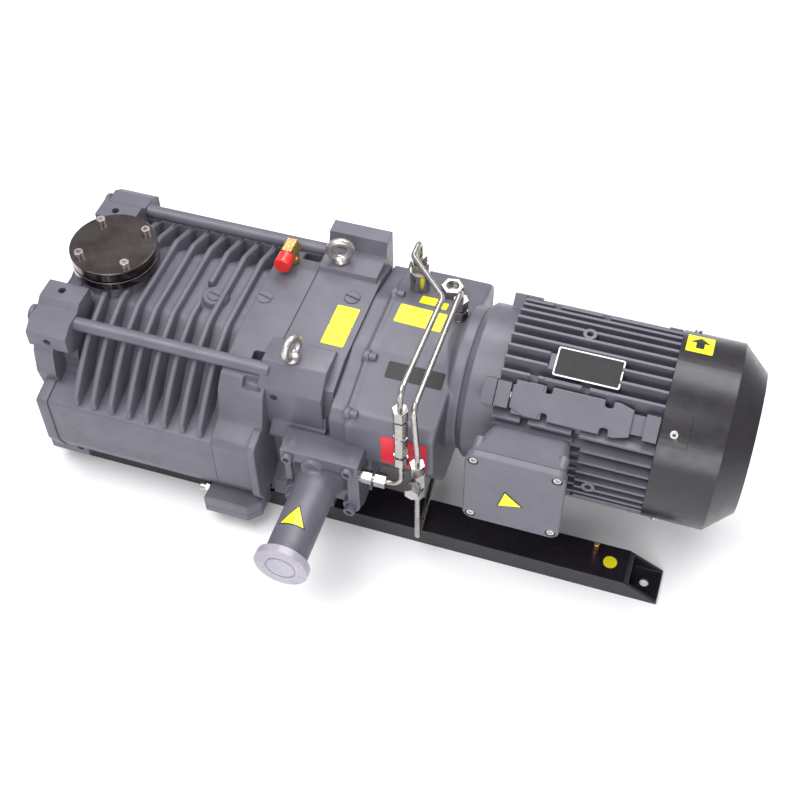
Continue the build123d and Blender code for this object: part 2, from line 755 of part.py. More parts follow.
# ================================================================ exhaust manifold
manifold_screws = [(manifold_mid_x + sx * manifold_screw_x, manifold_mid_z + sz * manifold_screw_z)
                   for sx in (-1, 1) for sz in (-1, 1)]
manifold_back_y = exhaust_face_y + gasket_t
manifold_front_y = manifold_back_y + manifold_depth
side_port = (122.0, 135.0)      # height, and distance to the front, of the gas port on the right
with BuildPart() as exhaust_gasket:
    with BuildSketch(facing(exhaust_face_y)):
        with Locations((manifold_mid_x, manifold_mid_z)):
            RectangleRounded(manifold_x[1] - manifold_x[0] - 2, manifold_z[1] - manifold_z[0] - 14, 8)
        with Locations((port_x, exhaust_pipe_z)):
            Circle(port_r, mode=Mode.SUBTRACT)
        with Locations(*manifold_screws):
            Circle(4.5, mode=Mode.SUBTRACT)
    extrude(amount=gasket_t)
save(exhaust_gasket, "exhaust_gasket")

with BuildPart() as exhaust_manifold:
    with BuildSketch(facing(manifold_back_y)):
        with Locations((manifold_mid_x, manifold_mid_z)):
            RectangleRounded(manifold_x[1] - manifold_x[0], manifold_z[1] - manifold_z[0], 13)
    extrude(amount=manifold_flange_t)
    with BuildSketch(facing(manifold_back_y + manifold_flange_t)):
        with Locations(*manifold_screws):
            Circle(10)
    extrude(amount=manifold_depth - manifold_flange_t, taper=3)
    with BuildSketch(facing(manifold_back_y + manifold_flange_t)):
        with Locations((manifold_mid_x, manifold_z[1] - 14)):
            Rectangle(manifold_x[1] - manifold_x[0] - 20, 28)
    extrude(amount=manifold_depth - manifold_flange_t - 6, taper=8)
    with BuildSketch(facing(manifold_back_y + 8)):
        with Locations((exhaust_pipe_x, exhaust_pipe_z)):
            Circle(36)
    with BuildSketch(facing(manifold_front_y + 12)):
        with Locations((exhaust_pipe_x, exhaust_pipe_z)):
            Circle(exhaust_pipe_r)
    loft()
    with BuildSketch(facing(manifold_front_y + 12)):
        with Locations((exhaust_pipe_x, exhaust_pipe_z)):
            Circle(exhaust_pipe_r)
    extrude(amount=exhaust_end_y - manifold_front_y - 12)
    with BuildSketch(facing(exhaust_end_y - 6)):
        with Locations((exhaust_pipe_x, exhaust_pipe_z)):
            Circle(exhaust_flange_r)
    extrude(amount=6)
    with BuildSketch(facing(manifold_back_y + 20)):
        with Locations((manifold_x[1] - 12, side_port[0])):
            Rectangle(22, 24)
    extrude(amount=manifold_depth - 24, taper=4)
    with BuildSketch(facing(manifold_front_y)):
        with Locations((manifold_mid_x - 7, manifold_z[1] - 24)):
            Circle(9.5)
    extrude(amount=-16, mode=Mode.SUBTRACT)
    with BuildSketch(facing(manifold_back_y + 14)):
        with Locations((exhaust_pipe_x, exhaust_pipe_z)):
            Circle(exhaust_bore_r)
    extrude(amount=exhaust_end_y, mode=Mode.SUBTRACT)
    with BuildSketch(facing(manifold_back_y)):
        with Locations((port_x, exhaust_pipe_z)):
            Circle(port_r)
    extrude(amount=18, mode=Mode.SUBTRACT)
    with BuildSketch(facing(manifold_back_y)):
        with Locations(*manifold_screws):
            Circle(4.3)
    extrude(amount=manifold_depth + 1, mode=Mode.SUBTRACT)
    threaded_hole(Plane(origin=(manifold_x[1], -side_port[1], side_port[0]), z_dir=(1, 0, 0)),
                  5 + seat, 9)
save(exhaust_manifold, "exhaust_manifold")

with BuildPart() as exhaust_cap:
    with BuildSketch(facing(exhaust_end_y - cap_skirt)):
        with Locations((exhaust_pipe_x, exhaust_pipe_z)):
            Circle(exhaust_flange_r + joint_gap + cap_t)
            Circle(exhaust_flange_r + joint_gap, mode=Mode.SUBTRACT)
    extrude(amount=cap_skirt + joint_gap)
    with BuildSketch(facing(exhaust_end_y + joint_gap)):
        with Locations((exhaust_pipe_x, exhaust_pipe_z)):
            Circle(exhaust_flange_r + joint_gap + cap_t)
    extrude(amount=cap_t)
    fillet(exhaust_cap.faces().sort_by(Axis.Y)[0].edges(), 1.0)
    with BuildSketch(facing(exhaust_end_y + joint_gap + cap_t)):
        with Locations((exhaust_pipe_x, exhaust_pipe_z)):
            Circle(exhaust_bore_r - 3)
            Circle(exhaust_bore_r - 4.5, mode=Mode.SUBTRACT)
    extrude(amount=-0.8, mode=Mode.SUBTRACT)
save(exhaust_cap, "exhaust_cap")

# ================================================================ sensor box under the stator
sensor_x = (-142.0, -80.0)
sensor_y = (body_half_y - 26, body_half_y + 13)
sensor_split_z = 32.0
sensor_base_z = 22.0
sensor_corner = 12.0


def sensor_block(low_z, high_z):
    """Box with its front right corner cut off."""
    with BuildPart() as block:
        with BuildSketch(Plane.XY.offset(low_z)):
            with BuildLine():
                Polyline((sensor_x[0], -sensor_y[0]), (sensor_x[0], -sensor_y[1]),
                         (sensor_x[1] - sensor_corner, -sensor_y[1]),
                         (sensor_x[1], -sensor_y[1] + sensor_corner), (sensor_x[1], -sensor_y[0]),
                         close=True)
            make_face()
        extrude(amount=high_z - low_z)
    return block.part


with BuildPart() as sensor_box:
    add(sensor_block(sensor_split_z, sensor_top_z))
    chamfer(sensor_box.faces().sort_by(Axis.Z)[-1].edges(), 1.2)
save(sensor_box, "sensor_box")

with BuildPart() as sensor_box_lid:
    add(sensor_block(sensor_base_z, sensor_split_z))
    chamfer(sensor_box_lid.faces().sort_by(Axis.Z)[-1].edges(), 1.2)
save(sensor_box_lid, "sensor_box_lid")

with BuildPart() as sensor_gland:
    gland_spot = Plane(origin=(sensor_x[0], -sensor_y[1] + 18, (sensor_split_z + sensor_top_z) / 2),
                       z_dir=(-1, 0, 0))
    with BuildSketch(gland_spot):
        RegularPolygon(6.0, 6, major_radius=False)
    extrude(amount=4.5)
    with BuildSketch(gland_spot.offset(4.5)):
        Circle(5.2)
    extrude(amount=8)
    fillet(sensor_gland.faces().sort_by(Axis.X)[0].edges(), 1.5)
save(sensor_gland, "sensor_gland")


# ================================================================ gearbox
gearbox_half = [(36, gearbox_top_z), (108, 189), (gearbox_half_y, 177), (gearbox_half_y, 128),
                (75, gearbox_bottom_z)]
tall_boss_spot = (34.0, 68.0, 200.0)
hex_plug_spot = (70.0, 70.0, 199.0)
small_port_spot = (90.0, 31.0, 208.0)
under_port_spot = (88.0, -52.0, gearbox_bottom_z)
end_wall_l = 12.0
seam_flange_l = 10.0
screw_spots_gearbox = [(-112, 194), (48, 211), (-48, 211), (112, 194), (-50, 57), (50, 57)]
manifold_right_x = manifold_mid_x + manifold_screw_x
with BuildPart() as gearbox_casing:
    with BuildSketch(across(gearbox_x)):
        make_face(symmetric_outline(gearbox_half))
    extrude(amount=gearbox_l)
    fillet(gearbox_casing.edges().filter_by(Axis.X).filter_by(
        lambda e: abs(abs(e.center().Y) - gearbox_half_y) < 12 and e.center().Z > 150), 8.0)
    chamfer(gearbox_casing.faces().sort_by(Axis.X)[-1].edges(), 4.0)
    with BuildSketch(across(gearbox_x)):
        make_face(symmetric_outline([(38, gearbox_top_z + 4), (111, 192.5), (gearbox_half_y + 4, 179),
                                     (gearbox_half_y + 4, 126), (77, gearbox_bottom_z - 3)]))
    extrude(amount=band_l)
    with BuildSketch(across(spigot_x - 16)):
        with Locations((0, shaft_z)):
            Circle(56)
    with BuildSketch(across(spigot_x - 3)):
        with Locations((0, shaft_z)):
            Circle(77.5)
    loft()
    with BuildSketch(across(spigot_x - 3)):
        with Locations((0, shaft_z)):
            Circle(77.5)
    extrude(amount=spigot_l + 3)
    with BuildSketch(across(gearbox_x)):
        make_face(symmetric_outline([(32, gearbox_top_z - 8), (102, 182), (109, 172), (109, 132),
                                     (71, gearbox_bottom_z + 7)]))
    extrude(amount=gearbox_l - end_wall_l, mode=Mode.SUBTRACT)
    with BuildSketch(facing(96)):
        with Locations((manifold_right_x, sum(manifold_z) / 2)):
            Rectangle(26, manifold_z[1] - manifold_z[0] - 6)
    extrude(amount=exhaust_face_y - 96)
    with BuildSketch(facing(exhaust_face_y)):
        with Locations(((gearbox_x + manifold_x[1]) / 2 + 1, manifold_z[1] - 46)):
            Rectangle(manifold_x[1] - gearbox_x + 2, 95)
    extrude(amount=20, mode=Mode.SUBTRACT)
    with BuildSketch(across(spigot_x)):
        with Locations((0, shaft_z)):
            Circle(62)
    extrude(amount=spigot_l, mode=Mode.SUBTRACT)
    for x, y, z in (tall_boss_spot, hex_plug_spot, small_port_spot):
        with BuildSketch(Plane.XY.offset(z - 4)):
            with Locations((x, y)):
                Circle(12 if y > 50 else 9)
        extrude(amount=4)
        with BuildSketch(Plane.XY.offset(z)):
            with Locations((x, y)):
                Circle(13 if y > 50 else 10)
        extrude(amount=12, mode=Mode.SUBTRACT)
        with BuildSketch(Plane.XY.offset(z)):
            with Locations((x, y)):
                Circle(6 + seat)
        extrude(amount=-25, mode=Mode.SUBTRACT)
    with BuildSketch(Plane.XY.offset(gearbox_bottom_z)):
        with Locations(under_port_spot[:2]):
            Circle(5 + seat)
    extrude(amount=10, mode=Mode.SUBTRACT)
    with BuildSketch(across(spigot_x - end_wall_l)):
        with Locations((0, shaft_z)):
            Circle(rotor_seat_r + 2)
    extrude(amount=end_wall_l, mode=Mode.SUBTRACT)
    with BuildSketch(across(spigot_x - seal_l)):
        with Locations((0, shaft_z)):
            Circle(seal_r + seat)
    extrude(amount=seal_l, mode=Mode.SUBTRACT)
    for y, z in screw_spots_gearbox:
        with BuildSketch(across(gearbox_x)):
            with Locations((y, z)):
                Circle(8)
        extrude(amount=seam_flange_l)
        with BuildSketch(across(gearbox_x + seam_flange_l)):
            with Locations((y, z)):
                Circle(7.4)
        extrude(amount=band_l - seam_flange_l + 5, mode=Mode.SUBTRACT)
        with BuildSketch(across(gearbox_x)):
            with Locations((y, z)):
                Circle(4 + seat)
        extrude(amount=seam_flange_l, mode=Mode.SUBTRACT)
    with BuildSketch(facing(exhaust_face_y)):
        with Locations(*[(manifold_right_x, z) for z in (sum(manifold_z) / 2 - manifold_screw_z,
                                                         sum(manifold_z) / 2 + manifold_screw_z)]):
            Circle(4 + seat)
    extrude(amount=-14, mode=Mode.SUBTRACT)
save(gearbox_casing, "gearbox_casing")

housing_screw_r = 4.0
with BuildPart() as housing_screws:
    for x, z in manifold_screws:
        spot = Plane(origin=(x, -manifold_front_y, z), x_dir=(1, 0, 0), z_dir=(0, -1, 0))
        add(spot.location * cap_screw(housing_screw_r, manifold_depth + gasket_t + 13, 8))
    for y, z in screw_spots_gearbox:
        spot = Plane(origin=(gearbox_x + seam_flange_l, y, z), z_dir=(1, 0, 0))
        add(spot.location * cap_screw(housing_screw_r, seam_flange_l - 0.5, 8))
save(housing_screws, "housing_screws")


# ================================================================ gas tubes and their fittings
tube_r = 3.0
tube_bore_r = 2.0
tube_bend_r = 12.0


def bent_tube(points, radii):
    """Tube through the corner points, with one bend radius for each corner."""
    with BuildPart() as tube:
        with BuildLine() as route:
            FilletPolyline(*points, radius=radii)
        with BuildSketch(Plane(origin=route.line @ 0, z_dir=route.line % 0)) as section:
            Circle(tube_r)
            Circle(tube_bore_r, mode=Mode.SUBTRACT)
        sweep(section.sketch, path=route.line)
    return tube.part


def stacked(plane, steps, hole_r=0.0):
    """Turned or hexagonal lengths one after another; each is (sides, width, length)."""
    with BuildPart() as stack:
        level = 0.0
        for sides, width, length in steps:
            with BuildSketch(plane.offset(level)) as section:
                if sides:
                    RegularPolygon(width / 2, sides, major_radius=False)
                else:
                    Circle(width / 2)
            extrude(section.sketch, amount=length)
            level += length
        if hole_r:
            with BuildSketch(plane) as hole:
                Circle(hole_r)
            extrude(hole.sketch, amount=level, mode=Mode.SUBTRACT)
    return stack.part


tall_boss_steps = ((0, 12.0, 10.0), (0, 22.0, 28.0), (6, 17.0, 12.0), (0, 10.0, 2.0), (6, 14.0, 9.0))
small_port_steps = ((0, 12.0, 10.0), (0, 15.0, 2.0), (6, 14.0, 12.0), (0, 9.0, 3.0), (6, 14.0, 12.0))
tall_top_z = tall_boss_spot[2] + sum(step[2] for step in tall_boss_steps[1:])
small_top_z = small_port_spot[2] + sum(step[2] for step in small_port_steps[1:])
valve_spot = (77.0, -135.0)
valve_top_z = 246.0
valve_steps = ((6, 14.0, 14.0), (0, 9.0, 3.0), (6, 13.0, 22.0), (0, 12.0, 4.0), (6, 13.0, 26.0),
               (0, 9.0, 4.0), (6, 14.0, 12.0))
valve_bottom_z = valve_top_z - sum(step[2] for step in valve_steps)
tee_spot = (95.0, -137.0)
tee_top_z = 168.0
tee_bottom_z = 116.0
side_nut_x = 62.0
grip = 6.0                  # how deep a tube sits in its fitting

with BuildPart() as hex_plug:
    with BuildSketch(Plane.XY.offset(hex_plug_spot[2] - 10)):
        with Locations(hex_plug_spot[:2]):
            Circle(6)
    extrude(amount=10)
    with BuildSketch(Plane.XY.offset(hex_plug_spot[2])):
        with Locations(hex_plug_spot[:2]):
            Circle(11.5)
    extrude(amount=3)
    with BuildSketch(Plane.XY.offset(hex_plug_spot[2] + 3)):
        with Locations(hex_plug_spot[:2]):
            RegularPolygon(10.5, 6, major_radius=False, rotation=12)
    extrude(amount=11)
    with BuildSketch(Plane.XY.offset(hex_plug_spot[2] + 14)):
        with Locations(hex_plug_spot[:2]):
            Circle(7)
    extrude(amount=-6, mode=Mode.SUBTRACT)
save(hex_plug, "hex_plug")

with BuildPart() as tube_fittings:
    add(stacked(Plane(origin=(*tall_boss_spot[:2], tall_boss_spot[2] - 10)), tall_boss_steps,
                tube_r + seat))
    add(stacked(Plane(origin=(*small_port_spot[:2], small_port_spot[2] - 10)), small_port_steps,
                tube_r + seat))
    add(stacked(Plane(origin=(manifold_x[1] - 8, -side_port[1], side_port[0]), z_dir=(1, 0, 0)),
                ((0, 10.0, 8.0), (0, 14.0, 2.0), (6, 13.0, 11.0), (0, 9.0, 3.0), (6, 14.0, 12.0)),
                tube_r + seat))
    add(stacked(Plane(origin=(*under_port_spot[:2], gearbox_bottom_z + 8), z_dir=(0, 0, -1)),
                ((0, 10.0, 8.0), (6, 13.0, 5.0), (0, 9.0, 1.0), (6, 13.0, 7.0)), tube_r + seat))
save(tube_fittings, "tube_fittings")

with BuildPart() as tee_fitting:
    add(stacked(Plane(origin=(*tee_spot, tee_top_z), z_dir=(0, 0, -1)),
                ((6, 14.0, 12.0), (0, 9.0, 3.0), (4, 11.0, 22.0), (0, 9.0, 3.0), (6, 14.0, 12.0)),
                tube_r + seat))
    tee_z = (tee_top_z + tee_bottom_z) / 2
    add(stacked(Plane(origin=(tee_spot[0], tee_spot[1] - 5.5, tee_z), z_dir=(0, -1, 0)),
                ((0, 9.0, 4.0), (6, 14.0, 11.0))))
save(tee_fitting, "tee_fitting")

with BuildPart() as check_valve:
    add(stacked(Plane(origin=(*valve_spot, valve_top_z), z_dir=(0, 0, -1)), valve_steps,
                tube_r + seat))
save(check_valve, "check_valve")

over_z = 271.0
gas_tube_upper_points = [
    (*tall_boss_spot[:2], tall_top_z - grip), (*tall_boss_spot[:2], over_z), (34, 44, over_z),
    (80, -4, over_z), (valve_spot[0], valve_spot[1], over_z), (*valve_spot, valve_top_z - grip)]
with BuildPart() as gas_tube_upper:
    add(bent_tube(gas_tube_upper_points, [9.0, 9.0, 14.0, tube_bend_r]))
save(gas_tube_upper, "gas_tube_upper")

with BuildPart() as gas_tube_lower:
    add(bent_tube([(*valve_spot, valve_bottom_z + grip), (*valve_spot, side_port[0]),
                   (side_nut_x - grip - 1, -side_port[1], side_port[0])], [14.0]))
save(gas_tube_lower, "gas_tube_lower")

sense_z = 250.0
under_run_z = 35.0
with BuildPart() as sense_tube_upper:
    add(bent_tube([(*small_port_spot[:2], small_top_z - grip), (*small_port_spot[:2], sense_z),
                   (tee_spot[0] - 5, tee_spot[1] + 2, sense_z), (*tee_spot, tee_top_z + 16),
                   (*tee_spot, tee_top_z - grip)], [8.0, tube_bend_r, 24.0]))
save(sense_tube_upper, "sense_tube_upper")

with BuildPart() as sense_tube_lower:
    add(bent_tube([(*tee_spot, tee_bottom_z + grip), (*tee_spot, under_run_z),
                   (*under_port_spot[:2], under_run_z),
                   (*under_port_spot[:2], gearbox_bottom_z - 13 + grip)], [8.0, 6.0]))
save(sense_tube_lower, "sense_tube_lower")


# ================================================================ rotating group of the pump
def lobe_outline(gap):
    """Two-lobe cycloidal rotor about the sketch origin, lobes along its x, set back by the gap."""
    roll = pitch_r / 4

    def epicycloid(t):
        return (5 * roll * cos(t) - roll * cos(5 * t), 5 * roll * sin(t) - roll * sin(5 * t))

    def hypocycloid(t):
        return (3 * roll * cos(t) + roll * cos(3 * t), 3 * roll * sin(t) - roll * sin(3 * t))

    def set_back(curve, t):
        step = 0.01
        (x0, y0), (x1, y1) = curve(t - step), curve(t + step)
        length = hypot(x1 - x0, y1 - y0)
        x, y = curve(t)
        return (x - gap * (y1 - y0) / length, y + gap * (x1 - x0) / length)

    spans = 8
    lobes = []
    for quarter in range(4):
        curve = (epicycloid, hypocycloid)[quarter % 2]
        start = quarter * pi / 2
        points = [set_back(curve, start + (i + 0.5) * pi / 2 / spans) for i in range(spans)]
        turn = -pi / 4
        lobes += [(x * cos(turn) - y * sin(turn), x * sin(turn) + y * cos(turn)) for x, y in points]
    with BuildLine() as outline:
        Spline(*lobes, periodic=True)
    return outline.line


def rotor_set(z, turn):
    """One rotor in each chamber, all on the shaft at height z."""
    with BuildPart() as rotors:
        x = stator_x
        walls = (partition_l, partition_l, stage_wall_l)
        lengths = (*stage_l, last_stage_l)
        for length, wall in zip(lengths, (*walls, 0)):
            plane = Plane(origin=(x + axial_gap, 0, z), x_dir=(0, cos(turn), sin(turn)),
                          z_dir=(1, 0, 0))
            with BuildSketch(plane) as section:
                make_face(lobe_outline(rotor_gap))
                Circle(rotor_seat_r + seat, mode=Mode.SUBTRACT)
            extrude(section.sketch, amount=length - 2 * axial_gap)
            x += length + wall
    return rotors.part


coupling_r = 25.0
hub_l = 12.0
jaw_l = 6.0
coupling_x = spigot_x + 2.0
motor_hub_x = coupling_x + hub_l + jaw_l
gear_x = gearbox_x + 10.0

with BuildPart() as drive_shaft:
    add(stepped_shaft(shaft_z, cover_x + cover_step + 2, (
        (cover_journal_r, stator_x - seal_l - 3), (rotor_seat_r, headplate_x + seal_l + 8),
        (head_journal_r, gearbox_x + 3), (rotor_seat_r, coupling_x + hub_l - 1))))
save(drive_shaft, "drive_shaft")

with BuildPart() as driven_shaft:
    add(stepped_shaft(driven_z, cover_x + cover_step + 2, (
        (cover_journal_r, stator_x - seal_l - 3), (rotor_seat_r, headplate_x + seal_l + 8),
        (head_journal_r, gearbox_x + 3), (rotor_seat_r, gear_x + gear_width + 3))))
save(driven_shaft, "driven_shaft")

with BuildPart() as drive_rotors:
    add(rotor_set(shaft_z, 0.0))
save(drive_rotors, "drive_rotors")

with BuildPart() as driven_rotors:
    add(rotor_set(driven_z, pi / 2))
save(driven_rotors, "driven_rotors")


def involute(angle):
    return tan(angle) - angle


def gear_outline(phase):
    """Spur gear about the sketch origin with a tooth centred at the phase angle (radians)."""
    base_r = pitch_r * cos(radians(pressure_angle))
    half_tooth = (pi * gear_module / 2 - gear_backlash) / 2 / pitch_r
    flank = [(pitch_r - 1.25 * gear_module, 1.06)]
    for r in (base_r + 0.1, pitch_r, pitch_r + gear_module):
        spread = half_tooth + involute(radians(pressure_angle)) - involute(acos(base_r / r))
        flank.append((r, spread / half_tooth))
    flank[0] = (flank[0][0], flank[1][1] * 1.15)
    points = []
    for tooth in range(gear_teeth):
        middle = phase + tooth * 2 * pi / gear_teeth
        for side, rows in ((-1, flank), (1, list(reversed(flank)))):
            points += [(r * cos(middle + side * share * half_tooth),
                        r * sin(middle + side * share * half_tooth)) for r, share in rows]
    with BuildLine() as outline:
        Polyline(*points, close=True)
    return outline.line


def timing_gear(z, phase):
    with BuildPart() as gear:
        with BuildSketch(Plane(origin=(gear_x, 0, z), x_dir=(0, 1, 0), z_dir=(1, 0, 0))) as section:
            make_face(gear_outline(phase))
            Circle(rotor_seat_r + seat, mode=Mode.SUBTRACT)
        extrude(section.sketch, amount=gear_width)
        with BuildSketch(Plane(origin=(gear_x + gear_width, 0, z), x_dir=(0, 1, 0),
                               z_dir=(1, 0, 0))) as web:
            Circle(pitch_r - 5)
            Circle(rotor_seat_r + 4, mode=Mode.SUBTRACT)
        extrude(web.sketch, amount=-4, mode=Mode.SUBTRACT)
    return gear.part


with BuildPart() as drive_gear:
    add(timing_gear(shaft_z, -pi / 2))
save(drive_gear, "drive_gear")

with BuildPart() as driven_gear:
    add(timing_gear(driven_z, pi / 2 + pi / gear_teeth))
save(driven_gear, "driven_gear")


def bearing_set(x, length, z, outer_r, journal_r):
    """Outer ring and roller cage, running on the journal."""
    with BuildPart() as rings:
        add(disc(x, length, outer_r, outer_r - bearing_ring_t, 0, z))
        add(disc(x + 1.5, length - 3, outer_r - bearing_ring_t - running, journal_r + running, 0, z))
    return rings.part


with BuildPart() as shaft_seals:
    for _, z in both_shafts():
        add(disc(stator_x - seal_l, seal_l - 1, seal_r, rotor_seat_r + running, 0, z))
        add(disc(headplate_x + 1, seal_l - 1, seal_r, rotor_seat_r + running, 0, z))
    add(disc(spigot_x - seal_l, seal_l, seal_r, rotor_seat_r + running))
save(shaft_seals, "shaft_seals")


# ================================================================ coupling
def wedges(count, start, span, inner_r, outer_r):
    """Ring sectors about the sketch origin; start and span are in degrees."""
    reach = outer_r * 1.6
    with BuildSketch() as sectors:
        for i in range(count):
            a = radians(start + i * 360 / count)
            b = a + radians(span)
            with BuildLine():
                Polyline((0, 0), (reach * cos(a), reach * sin(a)), (reach * cos(b), reach * sin(b)),
                         close=True)
            make_face()
        Circle(outer_r, mode=Mode.INTERSECT)
        Circle(inner_r, mode=Mode.SUBTRACT)
    return sectors.sketch


def shaft_plane(x):
    """Plane across the drive shaft with its origin on the shaft axis."""
    return Plane(origin=(x, 0, shaft_z), x_dir=(0, 1, 0), z_dir=(1, 0, 0))


jaw_span = 46.0
leg_span = 60.0 - jaw_span - 1.0
with BuildPart() as coupling_hubs:
    add(disc(coupling_x, hub_l, coupling_r, rotor_seat_r + seat))
    extrude(shaft_plane(coupling_x + hub_l) * wedges(3, 0, jaw_span, 14, coupling_r), amount=jaw_l - 0.5)
    add(disc(motor_hub_x, hub_l - 0.5, coupling_r, motor_shaft_r + seat))
    extrude(shaft_plane(motor_hub_x) * wedges(3, 60, jaw_span, 15.5, coupling_r), amount=0.5 - jaw_l)
save(coupling_hubs, "coupling_hubs")

with BuildPart() as coupling_spider:
    with BuildSketch(shaft_plane(coupling_x + hub_l + 0.3)):
        Circle(13.5)
    extrude(amount=jaw_l - 0.6)
    extrude(shaft_plane(coupling_x + hub_l + 0.3)
            * wedges(6, jaw_span + 0.5, leg_span, 10, coupling_r - 0.5), amount=jaw_l - 0.6)
save(coupling_spider, "coupling_spider")


# ================================================================ motor
def turned(points):
    """Solid of revolution about the drive shaft; points are (x, radius)."""
    with BuildPart() as body:
        with BuildSketch(Plane.XZ) as section:
            with BuildLine():
                Polyline(*[(x, shaft_z + r) for x, r in points], close=True)
            make_face()
        revolve(section.sketch, axis=Axis((0, 0, shaft_z), (1, 0, 0)))
    return body.part


lug_w = 26.0
lug_l = 14.0
bell_wall_x = motor_x - motor_bearing_l
bell_r = barrel_r + 2.5
lug_inner_r = barrel_r - 6
through_bolt_r = 3.0
bolt_head_l = 3.5
bolt_head_w = 10.0
through_bolt_at = motor_r - 8.5


def diagonal_lugs(x, length, outer_r, width):
    """Four blocks on the diagonals of the motor."""
    with BuildPart() as lugs:
        with BuildSketch(shaft_plane(x)) as section:
            with PolarLocations((lug_inner_r + outer_r) / 2, 4, start_angle=45):
                Rectangle(outer_r - lug_inner_r, width)
        extrude(section.sketch, amount=length)
    return lugs.part


def diagonal_holes(x, length, at_r, hole_r):
    """Cut four bores along X on the diagonals of the current part."""
    with BuildSketch(shaft_plane(x)) as section:
        with PolarLocations(at_r, 4, start_angle=45):
            Circle(hole_r)
    extrude(section.sketch, amount=length, mode=Mode.SUBTRACT)


with BuildPart() as motor_bell:
    add(turned([(bell_x, 52), (bell_x, 77.0), (bell_x + 7, bell_r), (motor_x, bell_r),
                (motor_x, motor_front_bearing_r + seat), (bell_wall_x, motor_front_bearing_r + seat),
                (bell_wall_x, 27), (bell_wall_x - 4, 27), (bell_wall_x - 4, 66), (bell_x + 8, 66),
                (bell_x + 2, 52)]))
    add(turned([(bell_x - 4, 54), (bell_x - 4, 62 - seat), (bell_x, 62 - seat), (bell_x, 54)]))
    add(diagonal_lugs(motor_x - lug_l, lug_l - 0.8, motor_r, lug_w))
    diagonal_holes(motor_x - lug_l, lug_l, through_bolt_at, through_bolt_r + seat)
save(motor_bell, "motor_bell")

nameplate_x = (199.0, 269.0)
nameplate_w = 38.0
nameplate_lean = 20.0
nameplate_r = 95.5
nameplate_t = 0.8
pad_spots_x = (188.0, 240.0)
pad_block_l = 30.0
neck_x = (157.0, 238.0)
neck_z = (114.0, 197.0)
with BuildPart() as motor_frame:
    for quarter in range(4):
        for i in range(motor_fins):
            across_fin = (i - (motor_fins - 1) / 2) * motor_fin_pitch
            base = Location((0, 0, 0), (0, 0, quarter * 90))
            with BuildSketch(shaft_plane(motor_x)) as section:
                tip = sqrt(motor_r ** 2 - (abs(across_fin) + motor_fin_t / 2) ** 2)
                with Locations(base * Location(((lug_inner_r - 10 + tip) / 2, across_fin, 0))):
                    Rectangle(tip - lug_inner_r + 10, motor_fin_t)
            extrude(section.sketch, amount=motor_l)
    add(turned([(motor_x - 1, bell_r), (motor_x - 1, motor_r + 1), (motor_x + 26, motor_r + 1),
                (motor_x + 26, motor_r)]), mode=Mode.SUBTRACT)
    with BuildSketch(shaft_plane(motor_x)):
        Circle(barrel_r)
    extrude(amount=motor_l)
    for x in pad_spots_x:
        with BuildSketch(shaft_plane(x - pad_block_l / 2)):
            with PolarLocations((lug_inner_r + pad_h) / 2, 4, start_angle=45):
                Rectangle(pad_h - lug_inner_r, pad_w + 4)
        extrude(amount=pad_block_l)
    with BuildSketch(shaft_plane(motor_x + lug_l + 9)):
        with PolarLocations((lug_inner_r + pad_h - 2.5) / 2, 4, start_angle=45):
            Rectangle(pad_h - 2.5 - lug_inner_r, pad_w - 10)
    extrude(amount=motor_l - 2 * lug_l - 9)
    for x in pad_spots_x:
        with BuildSketch(shaft_plane(x - 4)):
            for side in (-1, 1):
                for quarter in range(4):
                    turn = Location((0, 0, 0), (0, 0, 45 + quarter * 90))
                    with Locations(turn * Location((90, side * (pad_w / 2 + 2), 0))):
                        Rectangle(20, 18)
        extrude(amount=8, mode=Mode.SUBTRACT)
    add(diagonal_lugs(motor_x, lug_l, motor_r, lug_w))
    add(diagonal_lugs(cowl_x - lug_l - 1, lug_l, motor_r - 0.8, lug_w))
    with BuildSketch(Plane.XY.offset(shaft_z + 80)):
        with Locations((230, 8)):
            Circle(7)
    extrude(amount=motor_r - 80)
    with BuildSketch(facing(80)):
        with Locations((262, shaft_z - 8)):
            Circle(7)
    extrude(amount=motor_r - 80)
    with BuildSketch(facing(70)):
        with Locations((sum(neck_x) / 2, sum(neck_z) / 2)):
            Rectangle(neck_x[1] - neck_x[0], neck_z[1] - neck_z[0])
    extrude(amount=box_neck_y - 70 + 8)
    with Locations(((box_x[0] + box_x[1]) / 2, -box_neck_y - 18, (neck_z[0] + neck_z[1]) / 2)):
        Box(box_x[1] - box_x[0] + 6, 20, neck_z[1] - neck_z[0] + 8, mode=Mode.SUBTRACT)
    with BuildSketch(shaft_plane(motor_x)):
        Circle(frame_bore_r)
    extrude(amount=motor_l, mode=Mode.SUBTRACT)
    plate_plane = Plane(origin=(sum(nameplate_x) / 2, 0, shaft_z), x_dir=(1, 0, 0),
                        z_dir=(0, -sin(radians(nameplate_lean)), cos(radians(nameplate_lean))))
    with BuildSketch(plate_plane.offset(nameplate_r)):
        Rectangle(nameplate_x[1] - nameplate_x[0] + 2, nameplate_w + 2)
    extrude(amount=10, mode=Mode.SUBTRACT)
    with BuildSketch(plate_plane.offset(barrel_r - 3)):
        with Locations((nameplate_x[0] - sum(nameplate_x) / 2 + 3, 0),
                       (nameplate_x[1] - sum(nameplate_x) / 2 - 3, 0)):
            Rectangle(6, 14)
    extrude(amount=nameplate_r - barrel_r + 3)
    with BuildSketch(Plane.XY.offset(shaft_z + motor_r)):
        with Locations((230, 8)):
            Circle(3.4)
    extrude(amount=-12, mode=Mode.SUBTRACT)
    with BuildSketch(facing(motor_r)):
        with Locations((262, shaft_z - 8)):
            Circle(3.4)
    extrude(amount=-12, mode=Mode.SUBTRACT)
    diagonal_holes(motor_x, lug_l + 8, through_bolt_at, through_bolt_r + seat)
    diagonal_holes(motor_x + lug_l, bolt_head_l + joint_gap, through_bolt_at, bolt_head_w / 2 + 1)
